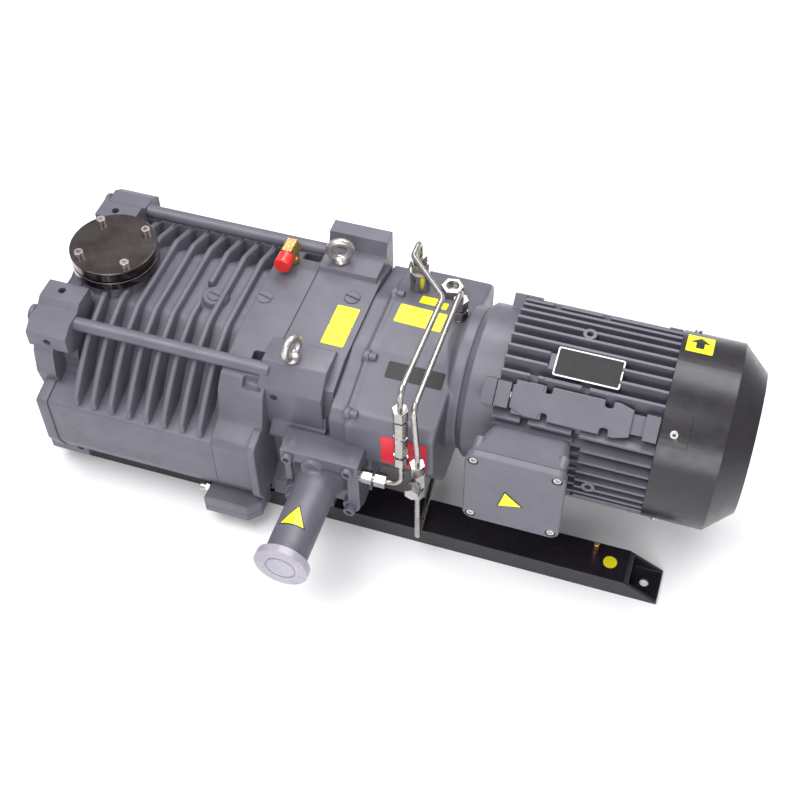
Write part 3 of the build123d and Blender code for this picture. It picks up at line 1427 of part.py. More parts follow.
save(motor_frame, "motor_frame")

with BuildPart() as motor_bolts:
    bolt = stacked(Plane(origin=(0, 0, 0), z_dir=(-1, 0, 0)),
                   ((6, bolt_head_w, bolt_head_l), (0, 2 * through_bolt_r, lug_l * 2 - 2)))
    for i in range(4):
        angle = radians(45 + 90 * i)
        with Locations((motor_x + lug_l + bolt_head_l, through_bolt_at * cos(angle),
                        shaft_z + through_bolt_at * sin(angle))):
            add(bolt)
save(motor_bolts, "motor_bolts")

with BuildPart() as motor_stator:
    add(disc(core_x[0], core_x[1] - core_x[0], frame_bore_r - seat, rotor_core_r + air_gap))
    for x in (core_x[0] - 15, core_x[1]):
        add(disc(x, 15, frame_bore_r - 6, rotor_core_r + 6))
    fillet(motor_stator.faces().group_by(Axis.X)[0].edges()
           + motor_stator.faces().group_by(Axis.X)[-1].edges(), 5)
save(motor_stator, "motor_stator")

lid_screw_r = 2.5


def cowl_screw_planes(at_r):
    """Planes that face outwards at the four cowl screws, at the given radius."""
    planes = []
    for i in range(4):
        outward = (0, cos(radians(45 + 90 * i)), sin(radians(45 + 90 * i)))
        origin = (cowl_x + 14, at_r * outward[1], shaft_z + at_r * outward[2])
        planes.append(Plane(origin=origin, x_dir=(1, 0, 0), z_dir=outward))
    return planes


rear_bearing_x = cowl_x - 6.0
shield_flange_l = 7.0
with BuildPart() as motor_end_shield:
    add(turned([(rear_bearing_x, 62), (rear_bearing_x, frame_bore_r - seat),
                (cowl_x, frame_bore_r - seat), (cowl_x, barrel_r + 2), (cowl_x + shield_flange_l, barrel_r + 2),
                (cowl_x + shield_flange_l, 40), (rear_bearing_x + motor_bearing_l + 5, 34),
                (rear_bearing_x + motor_bearing_l + 5, 16), (rear_bearing_x + motor_bearing_l, 16),
                (rear_bearing_x + motor_bearing_l, motor_rear_bearing_r + seat),
                (rear_bearing_x, motor_rear_bearing_r + seat), (rear_bearing_x, 34), (cowl_x, 40),
                (cowl_x, 62)]))
    with BuildSketch(shaft_plane(cowl_x)):
        with PolarLocations((barrel_r - 2 + motor_r - cowl_t - joint_gap) / 2, 4, start_angle=45):
            Rectangle(motor_r - cowl_t - joint_gap - barrel_r + 2 - 1.5, 22)
    extrude(amount=shield_flange_l + 14)
    for spot in cowl_screw_planes(motor_r - cowl_t):
        threaded_hole(spot, lid_screw_r + seat, 9)
save(motor_end_shield, "motor_end_shield")

rear_journal_end = rear_bearing_x + motor_bearing_l + 4
fan_x = cowl_x + 24.0
fan_l = 32.0
with BuildPart() as motor_rotor:
    add(stepped_shaft(shaft_z, motor_hub_x + 0.5, (
        (motor_shaft_r, motor_hub_x + hub_l - 0.3), (motor_front_journal_r, motor_x + 2), (19, core_x[0]),
        (rotor_core_r, core_x[1]), (18, rear_bearing_x - 2), (motor_rear_journal_r, rear_journal_end),
        (10, fan_x + 26))))
save(motor_rotor, "motor_rotor")

with BuildPart() as bearings:
    for _, z in both_shafts():
        add(bearing_set(cover_x + cover_step + 4, cover_bearing_l, z, cover_bearing_r,
                        cover_journal_r))
        add(bearing_set(gearbox_x - head_bearing_l - 4, head_bearing_l, z, head_bearing_r,
                        head_journal_r))
    add(bearing_set(bell_wall_x, motor_bearing_l, shaft_z, motor_front_bearing_r,
                    motor_front_journal_r))
    add(bearing_set(rear_bearing_x, motor_bearing_l, shaft_z, motor_rear_bearing_r,
                    motor_rear_journal_r))
save(bearings, "bearings")

with BuildPart() as cooling_fan:
    add(disc(fan_x, fan_l - 8, 17, 10 + seat))
    add(disc(fan_x, 3, fan_r, 10 + seat))
    for i in range(fan_blades):
        turn = Location((0, 0, 0), (0, 0, i * 360 / fan_blades))
        with BuildSketch(shaft_plane(fan_x)) as section:
            with Locations(turn * Location(((15 + fan_r) / 2, 0, 0))):
                Rectangle(fan_r - 15, 2.6)
        extrude(section.sketch, amount=fan_l - 4)
save(cooling_fan, "cooling_fan")

cone_x = cowl_x + cowl_straight_l
patch_angle = (125.0, 142.0)
with BuildPart() as fan_cowl:
    add(turned([(cowl_x, motor_r - cowl_t), (cowl_x, motor_r), (cone_x, motor_r),
                (cowl_end_x, cowl_end_r), (cowl_end_x, 0), (cowl_end_x - cowl_t, 0),
                (cowl_end_x - cowl_t, cowl_end_r - cowl_t), (cone_x - 0.8, motor_r - cowl_t)]))
    with BuildSketch(shaft_plane(cowl_end_x)):
        with PolarLocations(42, 20):
            Rectangle(46, 5)
    extrude(amount=-cowl_t, mode=Mode.SUBTRACT)
    for spot in cowl_screw_planes(motor_r):
        threaded_hole(spot, lid_screw_r + joint_gap, 3)
save(fan_cowl, "fan_cowl")

# ================================================================ terminal box
box_mid = ((box_x[0] + box_x[1]) / 2, (box_z[0] + box_z[1]) / 2)
box_size = (box_x[1] - box_x[0], box_z[1] - box_z[0])
box_front_y = box_face_y - box_lid_t - box_gasket_t
box_back_y = box_neck_y + 8.0
corner_spots = [(box_mid[0] + sx * (box_size[0] / 2 - 8.5), box_mid[1] + sz * (box_size[1] / 2 - 8.5))
                for sx in (-1, 1) for sz in (-1, 1)]
with BuildPart() as terminal_box:
    with BuildSketch(facing(box_front_y)):
        with Locations(box_mid):
            RectangleRounded(box_size[0] - 3, box_size[1] - 3, 9)
    with BuildSketch(facing(box_back_y)):
        with Locations((sum(neck_x) / 2, sum(neck_z) / 2)):
            RectangleRounded(neck_x[1] - neck_x[0], neck_z[1] - neck_z[0], 9)
    loft()
    with BuildSketch(facing(box_front_y)):
        with Locations(box_mid):
            RectangleRounded(box_size[0] - 3 - 2 * box_wall, box_size[1] - 3 - 2 * box_wall, 6)
    with BuildSketch(facing(box_back_y + 5)):
        with Locations((sum(neck_x) / 2, sum(neck_z) / 2)):
            RectangleRounded(neck_x[1] - neck_x[0] - 2 * box_wall, neck_z[1] - neck_z[0] - 2 * box_wall, 6)
    loft(mode=Mode.SUBTRACT)
    with BuildSketch(facing(box_front_y)):
        with Locations(*corner_spots):
            Circle(6)
    extrude(amount=-18)
    with BuildSketch(facing(box_front_y)):
        with Locations(*corner_spots):
            Circle(lid_screw_r + seat)
    extrude(amount=-14, mode=Mode.SUBTRACT)
save(terminal_box, "terminal_box")

with BuildPart() as terminal_gasket:
    with BuildSketch(facing(box_front_y)):
        with Locations(box_mid):
            RectangleRounded(box_size[0] - 4, box_size[1] - 4, 8.5)
            RectangleRounded(box_size[0] - 3 - 2 * box_wall, box_size[1] - 3 - 2 * box_wall, 6,
                             mode=Mode.SUBTRACT)
        with Locations(*corner_spots):
            Circle(lid_screw_r + joint_gap, mode=Mode.SUBTRACT)
    extrude(amount=box_gasket_t)
save(terminal_gasket, "terminal_gasket")

with BuildPart() as terminal_lid:
    with BuildSketch(facing(box_face_y - box_lid_t)):
        with Locations(box_mid):
            RectangleRounded(*box_size, 10)
    extrude(amount=box_lid_t)
    chamfer(terminal_lid.faces().sort_by(Axis.Y)[0].edges(), 1.5)
    with BuildSketch(facing(box_face_y - box_lid_t)):
        with Locations(box_mid):
            RectangleRounded(box_size[0] - 24, box_size[1] - 24, 6)
    extrude(amount=box_lid_t - 4, mode=Mode.SUBTRACT)
    with BuildSketch(facing(box_face_y)):
        with Locations(*corner_spots):
            Circle(5.5)
    extrude(amount=-4, mode=Mode.SUBTRACT)
    with BuildSketch(facing(box_face_y)):
        with Locations(*corner_spots):
            Circle(lid_screw_r + joint_gap)
    extrude(amount=-box_lid_t, mode=Mode.SUBTRACT)
save(terminal_lid, "terminal_lid")

with BuildPart() as cover_screws:
    for x, z in corner_spots:
        spot = Plane(origin=(x, -box_face_y + 4, z), x_dir=(1, 0, 0), z_dir=(0, -1, 0))
        add(spot.location * cap_screw(lid_screw_r, box_lid_t + box_gasket_t + 8, 3.2))
    for spot in cowl_screw_planes(motor_r):
        add(spot.location * cap_screw(lid_screw_r, cowl_t + joint_gap + 6, 2.4))
    for y, z in cover_screw_spots:
        spot = Plane(origin=(cover_x, y, z), z_dir=(-1, 0, 0))
        add(spot.location * cap_screw(lid_screw_r, bearing_cover_t + 8, 4))
save(cover_screws, "cover_screws")

with BuildPart() as terminal_block:
    with BuildSketch(facing(box_back_y + 5)):
        with Locations(box_mid):
            Rectangle(46, 34)
    extrude(amount=10)
    with BuildSketch(facing(box_back_y + 15)):
        with Locations(box_mid):
            with GridLocations(14, 16, 3, 2):
                RegularPolygon(4.5, 6)
    extrude(amount=4)
    with BuildSketch(facing(box_back_y + 19)):
        with Locations(box_mid):
            with GridLocations(14, 16, 3, 2):
                Circle(2.2)
    extrude(amount=6)
save(terminal_block, "terminal_block")
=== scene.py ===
"""Looks of a dry multi-stage roots vacuum pump set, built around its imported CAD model.

The frame has X along the shafts towards the motor, Z up and the front on the -Y side. Its objects
are in metres. Sizes and places here are in millimetres, and the mesh helpers scale them by MM.
"""
import math

import bmesh
import bpy
from mathutils import Matrix, Vector
from mathutils.bvhtree import BVHTree


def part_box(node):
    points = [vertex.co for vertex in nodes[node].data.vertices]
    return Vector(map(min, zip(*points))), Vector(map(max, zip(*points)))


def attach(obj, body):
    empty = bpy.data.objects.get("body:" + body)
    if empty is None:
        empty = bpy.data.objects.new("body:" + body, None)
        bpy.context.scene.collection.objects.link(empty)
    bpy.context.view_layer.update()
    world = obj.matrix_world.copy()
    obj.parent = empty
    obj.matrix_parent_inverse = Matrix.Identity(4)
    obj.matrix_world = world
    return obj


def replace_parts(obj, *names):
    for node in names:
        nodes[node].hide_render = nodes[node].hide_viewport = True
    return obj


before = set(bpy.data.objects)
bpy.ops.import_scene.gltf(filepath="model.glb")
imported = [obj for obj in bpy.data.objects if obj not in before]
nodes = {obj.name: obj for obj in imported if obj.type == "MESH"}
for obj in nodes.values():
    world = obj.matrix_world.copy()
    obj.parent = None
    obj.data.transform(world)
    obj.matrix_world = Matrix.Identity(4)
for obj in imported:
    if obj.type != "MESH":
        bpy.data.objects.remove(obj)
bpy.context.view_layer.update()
MM = 0.001


# ------------------------------------------------------------------------------ materials
def surface(name, low, high, rough, metallic=0.0, blotch=30.0, bumps=(), bevel=0.0, stretch=(1, 1, 1),
            coat=0.0):
    """Two-tone noise colour, noise roughness and stacked noise bumps on a Principled shader.

    Each bump is (noise scale, depth in metres, strength).
    """
    mat = bpy.data.materials.new(name)
    mat.use_nodes = True
    tree = mat.node_tree
    shader = tree.nodes["Principled BSDF"]
    shader.inputs["Metallic"].default_value = metallic
    shader.inputs["Coat Weight"].default_value = coat
    place = tree.nodes.new("ShaderNodeTexCoord")
    mapping = tree.nodes.new("ShaderNodeMapping")
    mapping.inputs["Scale"].default_value = stretch
    tree.links.new(place.outputs["Object"], mapping.inputs["Vector"])

    def noise(scale):
        texture = tree.nodes.new("ShaderNodeTexNoise")
        texture.inputs["Scale"].default_value = scale
        texture.inputs["Detail"].default_value = 4.0
        tree.links.new(mapping.outputs["Vector"], texture.inputs["Vector"])
        return texture.outputs["Fac"]

    tones = tree.nodes.new("ShaderNodeValToRGB")
    tones.color_ramp.elements[0].position = 0.3
    tones.color_ramp.elements[0].color = (*low, 1)
    tones.color_ramp.elements[1].position = 0.7
    tones.color_ramp.elements[1].color = (*high, 1)
    tree.links.new(noise(blotch), tones.inputs["Fac"])
    tree.links.new(tones.outputs["Color"], shader.inputs["Base Color"])

    spread = tree.nodes.new("ShaderNodeMapRange")
    spread.inputs["From Min"].default_value = 0.3
    spread.inputs["From Max"].default_value = 0.7
    spread.inputs["To Min"].default_value = rough[0]
    spread.inputs["To Max"].default_value = rough[1]
    tree.links.new(noise(blotch * 3), spread.inputs["Value"])
    tree.links.new(spread.outputs["Result"], shader.inputs["Roughness"])

    normal = None
    if bevel:
        rounding = tree.nodes.new("ShaderNodeBevel")
        rounding.samples = 4
        rounding.inputs["Radius"].default_value = bevel
        normal = rounding.outputs["Normal"]
    for scale, depth, strength in bumps:
        bump = tree.nodes.new("ShaderNodeBump")
        bump.inputs["Distance"].default_value = depth
        bump.inputs["Strength"].default_value = strength
        tree.links.new(noise(scale), bump.inputs["Height"])
        if normal:
            tree.links.new(normal, bump.inputs["Normal"])
        normal = bump.outputs["Normal"]
    if normal:
        tree.links.new(normal, shader.inputs["Normal"])
    return mat


GREY_LOW, GREY_HIGH = (0.083, 0.08, 0.103), (0.104, 0.1, 0.127)
SAND = ((900, 0.0004, 0.35), (240, 0.0006, 0.3))
SMOOTH = ((600, 0.0002, 0.18), (60, 0.0004, 0.12))
looks = {
    "sand_casting": surface("sand_casting", GREY_LOW, GREY_HIGH, (0.42, 0.56), bumps=SAND, bevel=0.0016),
    "casting": surface("casting", GREY_LOW, GREY_HIGH, (0.34, 0.46), bumps=SMOOTH, bevel=0.0016),
    "motor_paint": surface("motor_paint", (0.088, 0.085, 0.107), (0.108, 0.104, 0.13), (0.36, 0.46),
                           bumps=SMOOTH, bevel=0.001),
    "lid_paint": surface("lid_paint", (0.088, 0.085, 0.108), (0.104, 0.1, 0.127), (0.38, 0.5),
                         bumps=SMOOTH, bevel=0.001),
    "black_paint": surface("black_paint", (0.006, 0.0045, 0.0075), (0.012, 0.009, 0.0145), (0.26, 0.36),
                           bumps=((500, 0.0002, 0.12), (90, 0.0003, 0.08)), bevel=0.0012),
    "stainless": surface("stainless", (0.3, 0.285, 0.275), (0.46, 0.44, 0.425), (0.18, 0.32), 1.0,
                         blotch=60, bumps=((700, 0.0001, 0.1),), bevel=0.0006),
    "inlet_steel": surface("inlet_steel", (0.095, 0.078, 0.075), (0.17, 0.145, 0.14), (0.14, 0.26), 1.0,
                           blotch=40, bumps=((500, 0.0001, 0.1),), bevel=0.0006),
    "zinc": surface("zinc", (0.42, 0.39, 0.38), (0.6, 0.57, 0.55), (0.26, 0.42), 1.0, blotch=90,
                    bumps=((700, 0.0002, 0.2),), bevel=0.0008),
    "machined": surface("machined", (0.45, 0.45, 0.46), (0.56, 0.56, 0.57), (0.25, 0.36), 1.0,
                        bumps=((600, 0.0001, 0.15),), stretch=(6, 1, 1)),
    "rotor_iron": surface("rotor_iron", (0.27, 0.27, 0.28), (0.36, 0.36, 0.37), (0.34, 0.46), 1.0,
                          bumps=((500, 0.0001, 0.2),), stretch=(1, 5, 5)),
    "laminations": surface("laminations", (0.14, 0.07, 0.035), (0.26, 0.15, 0.08), (0.4, 0.6),
                           bumps=((300, 0.0004, 0.4),), stretch=(12, 1, 1)),
    "rubber": surface("rubber", (0.012, 0.012, 0.012), (0.024, 0.024, 0.025), (0.55, 0.75),
                      bumps=((700, 0.0002, 0.3),)),
    "brass": surface("brass", (0.62, 0.40, 0.14), (0.78, 0.55, 0.22), (0.2, 0.36), 1.0, blotch=120,
                     bumps=((600, 0.0001, 0.15),), bevel=0.0006),
    "red_plastic": surface("red_plastic", (0.55, 0.012, 0.01), (0.68, 0.022, 0.016), (0.2, 0.34),
                           bumps=((300, 0.0002, 0.12),), bevel=0.0008, coat=0.3),
    "dark_plastic": surface("dark_plastic", (0.02, 0.02, 0.021), (0.034, 0.034, 0.036), (0.4, 0.55),
                            bumps=((800, 0.0002, 0.3),), bevel=0.0006),
    "white_plastic": surface("white_plastic", (0.24, 0.22, 0.27), (0.32, 0.3, 0.36), (0.22, 0.36),
                             bumps=((120, 0.0004, 0.15),), bevel=0.0006, coat=0.2),
    "yellow_vinyl": surface("yellow_vinyl", (0.7, 0.65, 0.008), (0.78, 0.72, 0.014), (0.3, 0.42),
                            blotch=60, bumps=((300, 0.0001, 0.15),)),
    "red_vinyl": surface("red_vinyl", (0.55, 0.008, 0.022), (0.64, 0.014, 0.034), (0.28, 0.4),
                         blotch=60, bumps=((300, 0.0001, 0.15),)),
    "black_vinyl": surface("black_vinyl", (0.006, 0.006, 0.007), (0.009, 0.009, 0.01), (0.32, 0.38),
                           blotch=60, bumps=((300, 0.0001, 0.12),)),
    "pale_vinyl": surface("pale_vinyl", (0.62, 0.62, 0.64), (0.74, 0.74, 0.76), (0.3, 0.42),
                          blotch=60, bumps=((300, 0.0001, 0.12),)),
    "shadow": surface("shadow", (0.006, 0.006, 0.007), (0.012, 0.012, 0.013), (0.5, 0.7),
                      bumps=((400, 0.0002, 0.3),)),
    "copper": surface("copper", (0.62, 0.27, 0.14), (0.76, 0.38, 0.22), (0.24, 0.4), 1.0, blotch=120,
                      bumps=((600, 0.0001, 0.2),)),
}

# the CAD nodes that wear each look
dressed = {
    "sand_casting": "stator_finned stator_exhaust end_cover",
    "casting": "bearing_cover headplate exhaust_manifold gearbox_casing motor_bell tie_rod_front"
               " tie_rod_rear tie_rod_caps slotted_plugs foot_bolts housing_screws",
    "motor_paint": "motor_frame motor_end_shield terminal_box sensor_box sensor_box_lid",
    "lid_paint": "terminal_lid",
    "black_paint": "base_rail_front base_rail_rear fan_cowl",
    "stainless": "tube_fittings tee_fitting check_valve gas_tube_upper gas_tube_lower sense_tube_upper"
                 " sense_tube_lower hex_plug",
    "inlet_steel": "inlet_adapter inlet_blank",
    "zinc": "lifting_eyes inlet_screws cover_screws motor_bolts sensor_gland",
    "copper": "earth_stud",
    "machined": "drive_shaft driven_shaft drive_gear driven_gear bearings coupling_hubs motor_rotor",
    "rotor_iron": "drive_rotors driven_rotors partition_plates",
    "laminations": "motor_stator",
    "rubber": "shaft_seals inlet_seal exhaust_gasket terminal_gasket coupling_spider",
    "brass": "purge_fitting",
    "red_plastic": "purge_cap",
    "white_plastic": "exhaust_cap",
    "dark_plastic": "cooling_fan terminal_block",
}


def wear(obj, mat):
    """Give a piece one material all over."""
    obj.data.materials.clear()
    obj.data.materials.append(mat)


for look, names in dressed.items():
    for name in names.split():
        wear(nodes[name], looks[look])


# ------------------------------------------------------------------------------ mesh helpers
def finish_mesh(name, bm, mat, body):
    """Turn a bmesh into a piece that rides on a body."""
    bmesh.ops.recalc_face_normals(bm, faces=bm.faces[:])
    mesh = bpy.data.meshes.new(name)
    bm.to_mesh(mesh)
    bm.free()
    obj = bpy.data.objects.new(name, mesh)
    bpy.context.scene.collection.objects.link(obj)
    wear(obj, mat)
    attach(obj, body)
    return obj


def casting(name, bm, look="sand_casting", cuts=()):
    """Smooth-shaded cast piece of the housing, less the closed shapes in cuts."""
    obj = finish_mesh(name, bm, looks[look], "housing")
    for cut in cuts:
        carve(obj, cut)
    smooth(obj)
    return obj


def smooth(obj, angle=40):
    """Smooth shading between sharp edges; the flat faces of caps and ends stay flat."""
    for face in obj.data.polygons:
        face.use_smooth = len(face.vertices) <= 4
    obj.data.set_sharp_from_angle(angle=math.radians(angle))


def modified(obj, *changes):
    """Apply modifiers, given as (kind, settings), to a piece's mesh."""
    for kind, settings in changes:
        modifier = obj.modifiers.new(kind, kind)
        for key, value in settings.items():
            setattr(modifier, key, value)
    depsgraph = bpy.context.evaluated_depsgraph_get()
    mesh = bpy.data.meshes.new_from_object(obj.evaluated_get(depsgraph))
    obj.modifiers.clear()
    obj.data = mesh


def carve(obj, bm):
    """Take closed shapes out of a piece."""
    bmesh.ops.recalc_face_normals(bm, faces=bm.faces[:])
    mesh = bpy.data.meshes.new("cutter")
    bm.to_mesh(mesh)
    bm.free()
    cutter = bpy.data.objects.new("cutter", mesh)
    bpy.context.scene.collection.objects.link(cutter)
    modified(obj, ("BOOLEAN", {"operation": "DIFFERENCE", "object": cutter, "solver": "EXACT"}))
    bpy.data.objects.remove(cutter)


def blended(name, bm, node, voxel, rounds):
    """Join overlapping closed shapes into one casting with soft fillets, which replaces a node."""
    piece = finish_mesh(name, bm, looks["casting"], "housing")
    modified(piece, ("REMESH", {"mode": "VOXEL", "voxel_size": voxel * MM, "use_smooth_shade": True}),
             ("SMOOTH", {"factor": 0.5, "iterations": rounds}))
    wear(piece, looks["casting"])
    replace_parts(piece, node)
    return piece


# ------------------------------------------------------------------------------ places
SHAFT_Z = 155


def upright_place(x, y, z=0):
    """Place whose local Z points up."""
    return Matrix.Translation((x * MM, y * MM, z * MM))


def facing_place(x, z, y):
    """Place whose local Z points to the front (-Y)."""
    return upright_place(x, y, z) @ Matrix.Rotation(math.radians(90), 4, "X")


def along_place(x, y, z):
    """Place whose local Z points along +X."""
    return upright_place(x, y, z) @ Matrix.Rotation(math.radians(90), 4, "Y")


def around_shaft(turn):
    """Place on the motor's axis whose local Z points out, turned from the top towards the front."""
    return upright_place(0, 0, SHAFT_Z) @ Matrix.Rotation(math.radians(turn), 4, "X")


# ------------------------------------------------------------------------------ outlines
def rounded(points, radii, steps=5):
    """Closed outline whose corners are eased by a curve as wide as an arc of their radius."""
    outline = []
    for k, (point, radius) in enumerate(zip(points, radii)):
        here = Vector(point)
        before, after = Vector(points[k - 1]) - here, Vector(points[(k + 1) % len(points)]) - here
        half = before.angle(after) / 2
        reach = min(radius / math.tan(half), 0.48 * before.length, 0.48 * after.length)
        start, end = here + before.normalized() * reach, here + after.normalized() * reach
        for i in range(steps + 1):
            t = i / steps
            outline.append(start.lerp(here, t).lerp(here.lerp(end, t), t))
    return outline


def both_sides(half, radii):
    """Outline symmetric about the shafts, from the corners of its +Y half, top to bottom."""
    points = half + [(-y, z) for y, z in reversed(half)]
    return rounded(points, list(radii) + list(reversed(radii)))


def inset(outline, depth):
    """Clockwise outline moved inwards."""
    moved = []
    for k, here in enumerate(outline):
        along = (outline[(k + 1) % len(outline)] - outline[k - 1]).normalized()
        moved.append(here + Vector((along.y, -along.x)) * depth)
    return moved


def rectangle(width, height, corner=0.0, steps=4):
    """Outline of a rectangle about the origin, with round corners."""
    half_w, half_h = width / 2 - corner, height / 2 - corner
    points = []
    for i, (sx, sy) in enumerate(((1, -1), (1, 1), (-1, 1), (-1, -1))):
        for k in range(steps + 1):
            angle = math.radians(-90 + i * 90 + k * 90 / steps)
            points.append((sx * half_w + corner * math.cos(angle), sy * half_h + corner * math.sin(angle)))
    return points


def triangle(side):
    """Outline of an equal-sided triangle about its centre, pointing up."""
    height = side * math.sqrt(3) / 2
    return [(-side / 2, -height / 3), (side / 2, -height / 3), (0, height * 2 / 3)]


def arrow(length, width, shaft):
    """Outline of a plain block arrow that points up, with its head in the upper half."""
    return [(-shaft / 2, -length / 2), (shaft / 2, -length / 2), (shaft / 2, 0), (width / 2, 0),
            (0, length / 2), (-width / 2, 0), (-shaft / 2, 0)]


# ------------------------------------------------------------------------------ solids
def add_block(bm, low, high):
    """Plain block between two corners."""
    size = [(b - a) * MM for a, b in zip(low, high)]
    middle = [(a + b) / 2 * MM for a, b in zip(low, high)]
    bmesh.ops.create_cube(bm, size=1, matrix=Matrix.Translation(middle) @ Matrix.Diagonal((*size, 1)))


def block(low, high):
    """A plain block by itself, to cut with."""
    bm = bmesh.new()
    add_block(bm, low, high)
    return bm


def join_rings(bm, rings):
    """Closed solid through equally long rings of points."""
    rows = [[bm.verts.new(point) for point in ring] for ring in rings]
    for near, far in zip(rows, rows[1:]):
        for k in range(len(near)):
            bm.faces.new((near[k - 1], near[k], far[k], far[k - 1]))
    bm.faces.new(rows[0][::-1])
    bm.faces.new(rows[-1])


def add_prism(bm, x0, x1, outline, edge=0.0, steps=3):
    """Prism along X with round edges at both ends, from a clockwise outline."""
    turns = [math.pi / 2 * k / steps for k in range(steps + 1 if edge else 1)]
    slices = [(x0 + edge * (1 - math.cos(turn)), edge * (1 - math.sin(turn))) for turn in turns]
    slices += [(x0 + x1 - x, depth) for x, depth in reversed(slices)]
    join_rings(bm, [[(x * MM, p.x * MM, p.y * MM) for p in (inset(outline, depth) if depth else outline)]
                    for x, depth in slices])


def add_plate(bm, place, outline, low, high, edge=0.0):
    """Flat plate between two heights of a place, from an anticlockwise outline."""
    levels = [(low, 0), (high - edge, 0), (high, edge)] if edge else [(low, 0), (high, 0)]
    join_rings(bm, [[place @ Vector((x * MM, y * MM, level * MM))
                     for x, y in (inset(outline, -depth) if depth else outline)] for level, depth in levels])


def add_turned(bm, place, profile, around=36):
    """Solid turned about the place's local Z from (radius, height) pairs, closed at both ends."""
    turns = [math.tau * i / around for i in range(around)]
    join_rings(bm, [[place @ (Vector((r * math.cos(turn), r * math.sin(turn), z)) * MM) for turn in turns]
                    for r, z in profile])


def add_torus(bm, place, ring_r, bar_r, around=48, sides=20):
    """Round ring whose axis is the place's local Z."""
    rows = []
    for i in range(around):
        turn = math.tau * i / around
        row = []
        for k in range(sides):
            tilt = math.tau * k / sides
            reach = ring_r + bar_r * math.cos(tilt)
            point = Vector((reach * math.cos(turn), reach * math.sin(turn), bar_r * math.sin(tilt)))
            row.append(bm.verts.new(place @ (point * MM)))
        rows.append(row)
    for i in range(around):
        near, far = rows[i], rows[(i + 1) % around]
        for k in range(sides):
            bm.faces.new((near[k], near[(k + 1) % sides], far[(k + 1) % sides], far[k]))


# ------------------------------------------------------------------------------ stator
STATOR_X, EXHAUST_X, HEAD_X, GEARBOX_X = (
    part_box(node)[0][0] / MM for node in ("stator_finned", "stator_exhaust", "headplate", "gearbox_casing"))
LEDGE_Y, LEDGE_Z, FIN_TOP, FLOOR_TOP = 150, 130, 209, 198.5
FIN_COUNT, FIN_PITCH, FIN_THICK, FIRST_FIN = 8, 20.5, 6.4, 11
END_RIM, END_RIM_PROUD = 13, 1.5
body_section = both_sides([(44, FLOOR_TOP), (84, 166), (108, 140), (LEDGE_Y, LEDGE_Z), (LEDGE_Y, 66),
                           (141, 45), (118, 34), (70, 30)], (14, 14, 9, 4, 6, 8, 8, 1))
fin_section = both_sides([(50, FIN_TOP), (90, 193.5), (108, 180), (124, 167), (146, 145),
                          (147, LEDGE_Z - 2), (60, 120)], (22, 14, 14, 14, 6, 1, 1))
PLUG_AT, INLET_AT = (-172, -12), (-293, 0)
SENSOR_SEAT = ((-144.5, -170, 10), (-77.5, -121, 47))


def stator_skin():
    """Body with ledges, rounded fins, plug boss and inlet neck of the finned stator."""
    bm = bmesh.new()
    add_prism(bm, STATOR_X + 1, EXHAUST_X, body_section, 0.8)
    add_prism(bm, STATOR_X, STATOR_X + END_RIM, inset(body_section, -END_RIM_PROUD), 1.2)
    body = casting("stator_body", bm, cuts=[block(*SENSOR_SEAT)])
    fins = bmesh.new()
    for i in range(FIN_COUNT):
        x = EXHAUST_X - FIRST_FIN - i * FIN_PITCH + 0.4
        add_prism(fins, x - FIN_THICK, x, fin_section, 2.6, 4)
    x, y = PLUG_AT
    plug_gap = block((x - 17, y - 17, FLOOR_TOP + 0.5), (x + 2, y + 14, FIN_TOP + 6))
    casting("stator_fins", fins, cuts=[plug_gap])
    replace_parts(body, "stator_finned")
    bosses = bmesh.new()
    add_turned(bosses, upright_place(*PLUG_AT),
               [(16.2, 196.7), (15.5, FLOOR_TOP), (13.8, 201.5), (13.5, 204.2), (12.8, 205)])
    add_turned(bosses, upright_place(*INLET_AT),
               [(43.5, 196.7), (42.5, 199), (40.5, 203), (40, 208.2), (39.2, FIN_TOP)], 64)
    casting("stator_bosses", bosses)


# ------------------------------------------------------------------------------ exhaust stage
ROD_Y = 92
PIT_X, PIT_Z, PIT_APART, PIT_HALF = (-103, -82), (186, 225), 15, 6.5
stage_section = both_sides([(52, 206), (104, 196), (116, 182), (124, 148), (LEDGE_Y - 4, LEDGE_Z + 6),
                            (LEDGE_Y, LEDGE_Z - 2), (LEDGE_Y, 66), (141, 45), (118, 34), (70, 30)],
                           (14, 9, 14, 16, 6, 3, 6, 8, 8, 1))
flange_section = both_sides([(96, 147), (132, 147), (152, 142), (154, LEDGE_Z), (154, 62), (143, 41),
                             (118, 31), (70, 30)], (1, 6, 8, 4, 8, 8, 8, 1))


def stage_skin():
    """Exhaust stage with its end flange and the pits beside each tie rod."""
    bm = bmesh.new()
    add_prism(bm, EXHAUST_X + 0.1, HEAD_X - 1, stage_section, 0.8)
    cuts = [block(*SENSOR_SEAT)]
    floor, top = PIT_Z
    for rod_y in (-ROD_Y, ROD_Y):
        for y in (rod_y - PIT_APART, rod_y + PIT_APART):
            left, right = y - PIT_HALF, y + PIT_HALF
            pit = bmesh.new()
            add_prism(pit, *PIT_X, rounded([(left, top), (right, top), (right, floor), (left, floor)],
                                           (1, 1, 5, 5)), 3)
            cuts.append(pit)
    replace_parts(casting("exhaust_stage", bm, cuts=cuts), "stator_exhaust")
    rim = bmesh.new()
    add_prism(rim, HEAD_X - 9, HEAD_X - 0.1, flange_section, 1.2)
    casting("stage_flange", rim, cuts=[block(*SENSOR_SEAT)])


